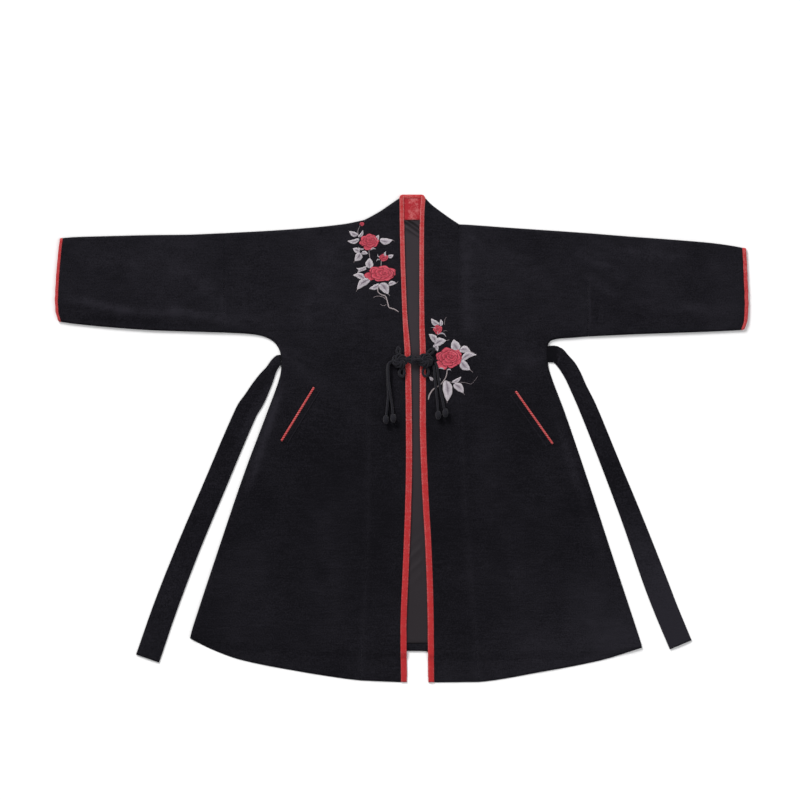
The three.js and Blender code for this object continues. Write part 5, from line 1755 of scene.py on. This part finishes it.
# ---------- ties and pockets ----------
class COAT_OT_side_ties(bpy.types.Operator):
    """The two flat velvet ties, sewn into the side seams"""

    bl_idname = "coat.side_ties"
    bl_label = "Side Ties"

    def execute(self, context):
        for side in SIDES.values():
            self.tie(side)
        return {"FINISHED"}

    def tie(self, side):
        wall = sizes().tie_wall / MM
        route = Curve([(o, d) for o, d, _, _ in side["tie"]])
        rows = [(route.share_near((o, d)), w, h) for o, d, w, h in side["tie"]]
        width, height = reader(rows, 0, 1), reader(rows, 0, 2)
        rings = []
        for share in steps(TIE_CELLS):
            point, along = route.at(share), route.along(share)
            half = width(share) / 2
            lift = max(0.0, height(share) - wall - 0.4)
            waver = 0.5 * noise.noise(Vector((share * 21, side["sign"] * 3, 0)))
            ring = []
            for across, up in self.section(wall):
                reach = (across + 0.012 * waver) * half
                place = flat(side, point[0] - along[1] * reach, point[1] + along[0] * reach)
                domed = 1 - across * across
                curl = 0.5 * domed * (1 + waver) if up > wall / 2 else 0
                ring.append((*place, 0.1 + lift * domed + up + curl))
            rings.append(ring)
        bm = bmesh.new()
        swept(bm, rings)
        mark_pile_and_light(bm, lambda v: self.sheen(side, route, *in_cut(side, *spot(v))))
        face_outwards(bm)
        tie = black_piece(f"velvet_tie_{side['name']}", bm, f"side_tie_{side['name']}")
        width(0.8) * MM

    def sheen(self, side, route, out, drop):
        """Painted light on a tie: a painted highlight on the crease and painted shade on the stub
        at one root, a painted sheen along the inner edge near the other, and both lighter lower
        down.
        """
        if side["name"] == "left":
            # Painted highlight on the crease, painted shade on the stub, and painted light lower
            # down.
            crease_highlight = hump(out - 298.5, 1.6) * smooth((352 - drop) / 8)
            drop_change = 0.55 * smooth((drop - 560) / 340)
            return 0.6 * crease_highlight - 0.5 * smooth((297 - out) / 2) + drop_change
        share = route.share_near((out, drop))
        point, along = route.at(share), route.along(share)
        across = (drop - point[1]) * along[0] - (out - point[0]) * along[1]
        # A painted sheen along the inner edge near the root, and painted light lower down.
        paler = smooth(share / 0.08) * smooth((0.5 - share) / 0.3)
        return 0.35 * smooth((across - 2) / 10) * paler + 0.12 * smooth((drop - 700) / 200)

    def section(self, wall):
        """A flat double band with rounded edges and a stitched line inside each."""
        top = [
            (-1.0, 0.5), (-0.985, 0.8), (-0.95, 0.96), (-0.9, 0.97), (-0.84, 0.86),
            (-0.76, 1.0), (-0.4, 1.0), (0.0, 1.0), (0.4, 1.0), (0.76, 1.0), (0.84, 0.86),
            (0.9, 0.97), (0.95, 0.96), (0.985, 0.8), (1.0, 0.5),
        ]
        under = [(0.97, 0.12), (0.9, 0.0), (0.0, 0.0), (-0.9, 0.0), (-0.97, 0.12)]
        return [(across, up * wall * 0.9) for across, up in [*top, *under]]


PIPING_AT = 0.25  # the middle of the piping, across the pocket's mouth


class COAT_OT_pockets(bpy.types.Operator):
    """The slanting pockets, each a black welt with a red piping"""

    bl_idname = "coat.pockets"
    bl_label = "Pockets"

    def execute(self, context):
        for side in SIDES.values():
            self.strip(side, self.welt(), red=False)
            self.strip(side, self.piping(), red=True)
        return {"FINISHED"}

    def welt(self):
        """Across the pocket's mouth, and up."""
        top = [(2.6, 0.5), (3.0, 1.0), (5.5, 1.15), (9, 1.1), (11.8, 1.0), (12.6, 0.55),
               (13.2, 1.0), (14.6, 0.9), (15.0, 0.4)]
        return [*top, (14.8, 0.0), (2.8, 0.0)]

    def piping(self):
        top = [
            (PIPING_AT - 2.2 * math.cos(a), 0.5 + 2.0 * math.sin(a) ** 0.8)
            for a in (math.pi * i / 10 for i in range(11))
        ]
        return [*top, (2.1, 0.0), (-1.6, 0.0)]

    def strip(self, side, section, red):
        """The black welt beside a pocket's mouth, or the red piping along it."""
        (o0, d0), (o1, d1) = side["pocket"]
        length = math.hypot(o1 - o0, d1 - d0)
        along = ((o1 - o0) / length, (d1 - d0) / length)
        inward = (-along[1], along[0])
        short = 0.0 if red else 1.0

        def twist(run, off):
            """The slanting stitches that wrap the piping."""
            return math.sin(2 * math.pi * (run / 4.6 + off / 5))

        def mark(v):
            out, drop = in_cut(side, *spot(v))
            run = (out - o0) * along[0] + (drop - d0) * along[1]
            off = (out - o0) * inward[0] + (drop - d0) * inward[1]
            return 0.05 + 0.9 * twist(run, off) if red else 0.8 * hump(off - 13.8, 0.8)

        rings = []
        for s in steps(POCKET_CELLS):
            run = lerp(short, length - short, s)
            end = min(1.0, (min(run - short, length - short - run) + 0.6) / 2.2)
            ring = []
            for off, up in section:
                if red:
                    off = PIPING_AT + (off - PIPING_AT) * (0.7 + 0.3 * end)
                out = o0 + along[0] * run + inward[0] * off
                drop = d0 + along[1] * run + inward[1] * off
                pile = 0.1 * noise.noise(Vector((run / 3, off, 6))) if up else 0.0
                if red and up:
                    pile += 0.45 * twist(run, off)
                high = front_top(side, out, drop) + 0.1 + up * end + pile
                ring.append((*flat(side, out, drop), high))
            rings.append(ring)
        bm = bmesh.new()
        swept(bm, rings)
        mark_pile_and_light(bm, mark)
        face_outwards(bm)
        if red:
            red_piece(f"red_piping_{side['name']}", bm, f"pocket_piping_{side['name']}")
        else:
            black_piece(f"velvet_welt_{side['name']}", bm, f"pocket_welt_{side['name']}")


# ---------- the fastening ----------
def knot_height():
    """The middle of the knots' cords, which lie on the binding."""
    weave = 0.6 * sizes().cord / MM
    return FRONT_TOP + BINDING_STANDS + GAP + weave + sizes().cord / MM / 2


def flat_knot(bm, side, cord):
    """A flat woven knot: one cord that goes four times round, over and under itself."""
    out, drop, turn = side["knot"]
    x, y = flat(side, out, drop)
    first = math.radians(turn)
    wide, high, middle = 17.5, 15.5, knot_height()

    def place(t):
        reach = 0.5 + 0.33 * math.cos(WAVES * t)
        return (
            x + wide * reach * math.cos(ROUNDS * t + first),
            y + high * reach * math.sin(ROUNDS * t + first),
            middle + 0.55 * cord * math.sin(WAVES * t) + 2.2 * (1 - reach),
        )

    closed_cord(bm, woven_route(240, place), 0.44 * cord, 10)
    filling = bmesh.ops.create_uvsphere(bm, u_segments=24, v_segments=12, radius=1.0)
    for v in filling["verts"]:
        v.co = Vector((x + 0.6 * wide * v.co.x, y + 0.6 * high * v.co.y,
                       middle + 1.2 + 2.6 * v.co.z)) * MM


def standing_loop(bm, side, loop, cord):
    """A small loop of cord beside a knot, pinched towards its upper end."""
    out, drop, wide, high, lean, pinch = loop
    x, y = flat(side, out, drop)

    def place(t):
        u = math.cos(t) * (1 - pinch * max(0.0, math.sin(t))) * wide / 2
        v = math.sin(t) * high / 2
        return (
            x + u * math.cos(lean) - v * math.sin(lean),
            y + u * math.sin(lean) + v * math.cos(lean),
            knot_height() - cord / 2,
        )

    closed_cord(bm, woven_route(48, place), cord / 2, 12)


class COAT_OT_fastening(bpy.types.Operator):
    """The knots, loops and ball button of the cord fastening"""

    bl_idname = "coat.fastening"
    bl_label = "Fastening"

    def execute(self, context):
        cord = sizes().cord / MM
        for side, finish, name, node in (
            (SIDES["right"], self.catch_loop, "cord_loop_knot", "frog_loop_right"),
            (SIDES["left"], self.button, "cord_button_knot", "frog_button_left"),
        ):
            bm = bmesh.new()
            flat_knot(bm, side, cord)
            for loop in side["loops"]:
                standing_loop(bm, side, loop, cord)
            finish(bm, side, cord)
            face_outwards(bm)
            cord_piece(name, bm, node)
        return {"FINISHED"}

    def button_place(self):
        return CENTRE_X + 0.8, TOP_Y - 338.3, knot_height()

    def catch_loop(self, bm, side, cord):
        """The loop that goes round the button, led out of the knot."""
        bx, by, z = self.button_place()
        ex, ey = flat(side, side["knot"][0] - 8, side["knot"][1] - 1)
        upper = [
            (ex, ey + 2.6, z), (bx - 12, by + 3.4, z + 0.4), (bx - 4, by + 6, z),
            (bx + 4, by + 5.4, z),
        ]
        lower = [(x, 2 * by - y if x > ex else 2 * ey - y, up) for x, y, up in upper]
        points = [*upper, (bx + 9.5, by, z), *lower[::-1]]
        open_cord(bm, points, cord, 60)
        lead = [(ex, ey, z + 1), (bx - 13, by, z + 1.2), (bx - 5, by, z + 0.8)]
        open_cord(bm, lead, cord, 16)

    def button(self, bm, side, cord):
        """The ball button, with the cord that holds it."""
        bx, by, z = self.button_place()
        woven_ball(bm, (bx, by, z + 0.8), radius=7.2, cord=3.9, wide=1.22, tall=0.95)
        points = [
            (bx, by, z + 3.5), (bx + 4, by, z + cord + 1.6), (bx + 10, by, z + cord + 1.4),
            (bx + 17, by - side["sign"], z + cord / 2),
        ]
        open_cord(bm, points, cord, 26)


# ---------- embroidery ----------
def patch(bm, rows, columns, place, tone, uv):
    """A stitched patch: a grid laid by place(u, v), with its own tone and UV map."""
    made = bmesh.ops.create_grid(
        bm, x_segments=len(columns) - 1, y_segments=len(rows) - 1, size=0.5
    )["verts"]
    tones = bm.verts.layers.float["tone"]
    layer = bm.loops.layers.uv.verify()
    shares = {}
    for v in made:
        i = round((v.co.x + 0.5) * (len(columns) - 1))
        j = round((v.co.y + 0.5) * (len(rows) - 1))
        shares[v] = (rows[j], columns[i])
    for face in {face for v in made for face in v.link_faces}:
        face.smooth = True
        for loop in face.loops:
            loop[layer].uv = uv(*shares[loop.vert])
    for v, at in shares.items():
        v.co = Vector(place(*at)) * MM
        v[tones] = tone(*at)
    faces = list({face for v in made for face in v.link_faces})
    bmesh.ops.recalc_face_normals(bm, faces=faces)
    if sum(f.normal.z for f in faces) < 0:
        bmesh.ops.reverse_faces(bm, faces=faces)
    under = bmesh.ops.extrude_face_region(bm, geom=faces, use_keep_orig=True)["geom"]
    sunk = [item for item in under if isinstance(item, bmesh.types.BMVert)]
    bmesh.ops.translate(bm, verts=sunk, vec=(0, 0, -0.7 * MM))


LEAF_COLUMNS = (-1, -0.86, -0.6, -0.3, -0.09, 0, 0.09, 0.3, 0.6, 0.86, 1)


def leaf_width(u):
    return 2.75 * u**0.62 * (1 - u) ** 0.92 + 0.02


class COAT_OT_embroidery(bpy.types.Operator):
    """The two sprays of roses, leaves and stems in satin stitch"""

    bl_idname = "coat.embroidery"
    bl_label = "Embroidery"

    def execute(self, context):
        c = colours()
        petals = toned_thread("rose thread", c.petal_painted_shade, c.petal, c.petal_light, 0.0, 0.5)
        leaves = toned_thread("leaf thread", c.leaf_vein, c.leaf, c.leaf_edge, 0.9, 0.42)
        stems = toned_thread("stem thread", c.leaf_vein, c.stem, c.leaf_edge, 1.4, 0.55)
        for name, spray in SPRAYS.items():
            self.ground = SIDES[name]
            self.middle = spray["middle"]
            self.build(f"stitched_stems_{name}", stems, self.stems, spray)
            self.build(f"stitched_leaves_{name}", leaves, self.leaves, spray)
            self.build(f"stitched_roses_{name}", petals, self.roses, spray)
        return {"FINISHED"}

    def build(self, name, material, make, spray):
        bm = bmesh.new()
        bm.verts.layers.float.new("tone")
        make(bm, spray)
        face_outwards(bm)
        finished(name, bm, material, "black_velvet")

    def lay(self, x, y, lift):
        """A place on the cloth, from the spray's middle."""
        x, y = x + self.middle[0], y + self.middle[1]
        return x, y, front_top(self.ground, *in_cut(self.ground, x, y)) + lift

    def stems(self, bm, spray):
        tones = bm.verts.layers.float["tone"]
        for points, first, last in spray["stems"]:
            curve = Curve(points)
            count = max(6, round(curve.length / 1.6))
            rings = []
            for s in steps(count):
                point, along = curve.at(s), curve.along(s)
                half = lerp(first, last, s) / 2 * (0.45 + 0.55 * math.sqrt(
                    min(1.0, 8 * s + 0.02, 8 * (1 - s) + 0.02)))
                rings.append([
                    self.lay(point[0] - along[1] * half * math.cos(a),
                             point[1] + along[0] * half * math.cos(a),
                             0.15 + 0.5 * half * (1 + math.sin(a)))
                    for a in (2 * math.pi * i / 8 for i in range(8))
                ])
            for v in swept(bm, rings):
                v[tones] = 0.3 + 0.25 * smooth((first - 0.9) / 1.2)

    def leaves(self, bm, spray):
        for n, leaf in enumerate([*spray["leaves"], *spray["sepals"]]):
            self.leaf(bm, n, leaf)

    def leaf(self, bm, n, leaf):
        x0, y0, x1, y1, width, bend = leaf
        run = np.array((x1 - x0, y1 - y0))
        length = float(np.linalg.norm(run))
        run = run / length
        side = np.array((-run[1], run[0]))
        relief = sizes().relief / MM
        rows = [0.0, 0.03, 0.08, *[lerp(0.14, 0.94, s) for s in steps(11)], 0.97, 1.0]

        def place(u, v):
            bow = bend * length * 4 * u * (1 - u)
            notch = 1 + 0.05 * math.sin(17 * u + 2.1 * n + (3 if v > 0 else 0))
            across = v * width / 2 * leaf_width(u) * notch
            x = x0 + run[0] * u * length + side[0] * (bow + across)
            y = y0 + run[1] * u * length + side[1] * (bow + across)
            dome = math.sqrt(max(0.0, 1 - v * v)) * min(1.0, 6 * u, 6 * (1 - u))
            groove = 0.4 * hump(v, 0.13)
            return self.lay(x, y, 0.35 + relief * dome * (1 - groove) + 0.12 * (n % 3))

        def tone(u, v):
            vein = hump(v, 0.11) * (1 - u)
            heart = 0.34 * hump(v, 0.5) * hump(u - 0.4, 0.3)
            edge = 0.42 * smooth((abs(v) - 0.8) / 0.2) + 0.4 * smooth((u - 0.86) / 0.14)
            return limited(0.54 - 0.55 * vein - heart + edge)

        def uv(u, v):
            return u * length * MM, v * width / 2 * leaf_width(u) * MM

        patch(bm, rows, LEAF_COLUMNS, place, tone, uv)

    def roses(self, bm, spray):
        for rose in spray["roses"]:
            self.rose(bm, rose, ((6, 0.3, 1.0), (5, 0.2, 0.78), (4, 0.1, 0.56),
                                 (3, 0.03, 0.36), (2, 0.0, 0.18)))
        for bud in spray["buds"]:
            self.rose(bm, bud, ((4, 0.2, 1.0), (3, 0.0, 0.6)))

    def rose(self, bm, rose, circles):
        """Rings of overlapping petals round a tight heart that lies off the middle."""
        x0, y0, wide, high, turn = rose
        lift = 0.5
        for ring, (count, inner, outer) in enumerate(circles):
            drift = 0.045 * ring
            middle = (x0 + drift * wide * math.cos(turn), y0 + drift * high * math.sin(turn))
            for n in range(count):
                seed = ring * 7 + n
                at = turn + 0.9 * ring + 2 * math.pi * n / count + 0.2 * math.sin(5.1 * seed)
                self.petal(bm, (*middle, wide, high), (at, math.pi / count * 1.45),
                           (inner, outer), lift + 0.13 * (n % 3), seed)
            lift += 0.4

    def petal(self, bm, rose, fan, reach, lift, seed):
        x0, y0, wide, high = rose
        at, half_fan = fan
        inner, outer = reach
        relief = sizes().relief / MM
        uneven = 1 + 0.12 * math.sin(2.3 * seed + 1)

        def place(u, v):
            frill = 1 - 0.13 * v * v + 0.045 * math.sin(5.2 * v + seed)
            r = lerp(inner, outer * uneven * frill, u)
            angle = at + v * half_fan * (0.72 + 0.28 * math.sin(math.pi * min(1, u + 0.15)))
            dome = math.sin(math.pi * min(1.0, 0.2 + 0.8 * u)) * (1 - 0.7 * v * v)
            curl = 0.35 * hump(u - 0.9, 0.1)
            return self.lay(
                x0 + wide / 2 * r * math.cos(angle), y0 + high / 2 * r * math.sin(angle),
                lift + relief * 0.6 * dome + curl * relief,
            )

        # Painted shade at each petal's base and a painted shadow along its sides, and along its
        # rim on the inner rings; the thread is lighter towards the rim.
        def tone(u, v):
            base = 0.04 + 0.56 * smooth(u / 0.85)
            rim = 0.42 * hump(u - 0.83, 0.09)
            dark = 0.95 if inner < 0.28 else 0.2
            edge = dark * smooth((u - 0.9) / 0.06) + 0.6 * smooth((abs(v) - 0.8) / 0.14)
            return limited(base + rim - edge + 0.1 * math.sin(3.1 * seed))

        def uv(u, v):
            return v * half_fan * wide / 2 * outer * MM, u * (outer - inner) * wide / 2 * MM

        rows = [0.0, 0.15, 0.35, 0.55, 0.7, 0.82, 0.88, 0.94, 0.97, 1.0]
        columns = [-1, -0.93, -0.8, -0.55, -0.28, 0, 0.28, 0.55, 0.8, 0.93, 1]
        patch(bm, rows, columns, place, tone, uv)


# ---------- panel and run ----------
# In the order in which they are made: what is sewn on a front comes before the front.
PIECES = (
    COAT_OT_camera,
    COAT_OT_cord_tails,
    COAT_OT_back,
    COAT_OT_lining,
    COAT_OT_pockets,
    COAT_OT_embroidery,
    COAT_OT_fronts,
    COAT_OT_bands,
    COAT_OT_edge_binding,
    COAT_OT_sleeves,
    COAT_OT_side_ties,
    COAT_OT_fastening,
    COAT_OT_studio,
)


class COAT_PT_pieces(bpy.types.Panel):
    """Lists the coat's pieces and settings"""

    bl_idname = "COAT_PT_pieces"
    bl_label = "Velvet Coat"
    bl_space_type = "VIEW_3D"
    bl_region_type = "UI"
    bl_category = "Coat"

    def draw(self, context):
        for group in ("coat_sizes", "coat_colours", "coat_studio"):
            settings = getattr(context.scene, group)
            for name in settings.bl_rna.properties.keys():
                if name not in ("rna_type", "name"):
                    self.layout.prop(settings, name)
        for operator in PIECES:
            self.layout.operator(operator.bl_idname)


CLASSES = (CoatSizes, CoatColours, StudioSettings, *PIECES, COAT_PT_pieces)


def register():
    for cls in CLASSES:
        bpy.utils.register_class(cls)
    bpy.types.Scene.coat_sizes = PointerProperty(type=CoatSizes)
    bpy.types.Scene.coat_colours = PointerProperty(type=CoatColours)
    bpy.types.Scene.coat_studio = PointerProperty(type=StudioSettings)


def unregister():
    del bpy.types.Scene.coat_studio
    del bpy.types.Scene.coat_colours
    del bpy.types.Scene.coat_sizes
    for cls in reversed(CLASSES):
        bpy.utils.unregister_class(cls)


def main():
    register()
    for operator in PIECES:
        area, name = operator.bl_idname.split(".")
        getattr(getattr(bpy.ops, area), name)()
    boxes = {"cad": CAD_BOX, "visual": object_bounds()}
    {k: [list(v) for v in box] for k, box in boxes.items()}


if __name__ == "__main__":
    main()
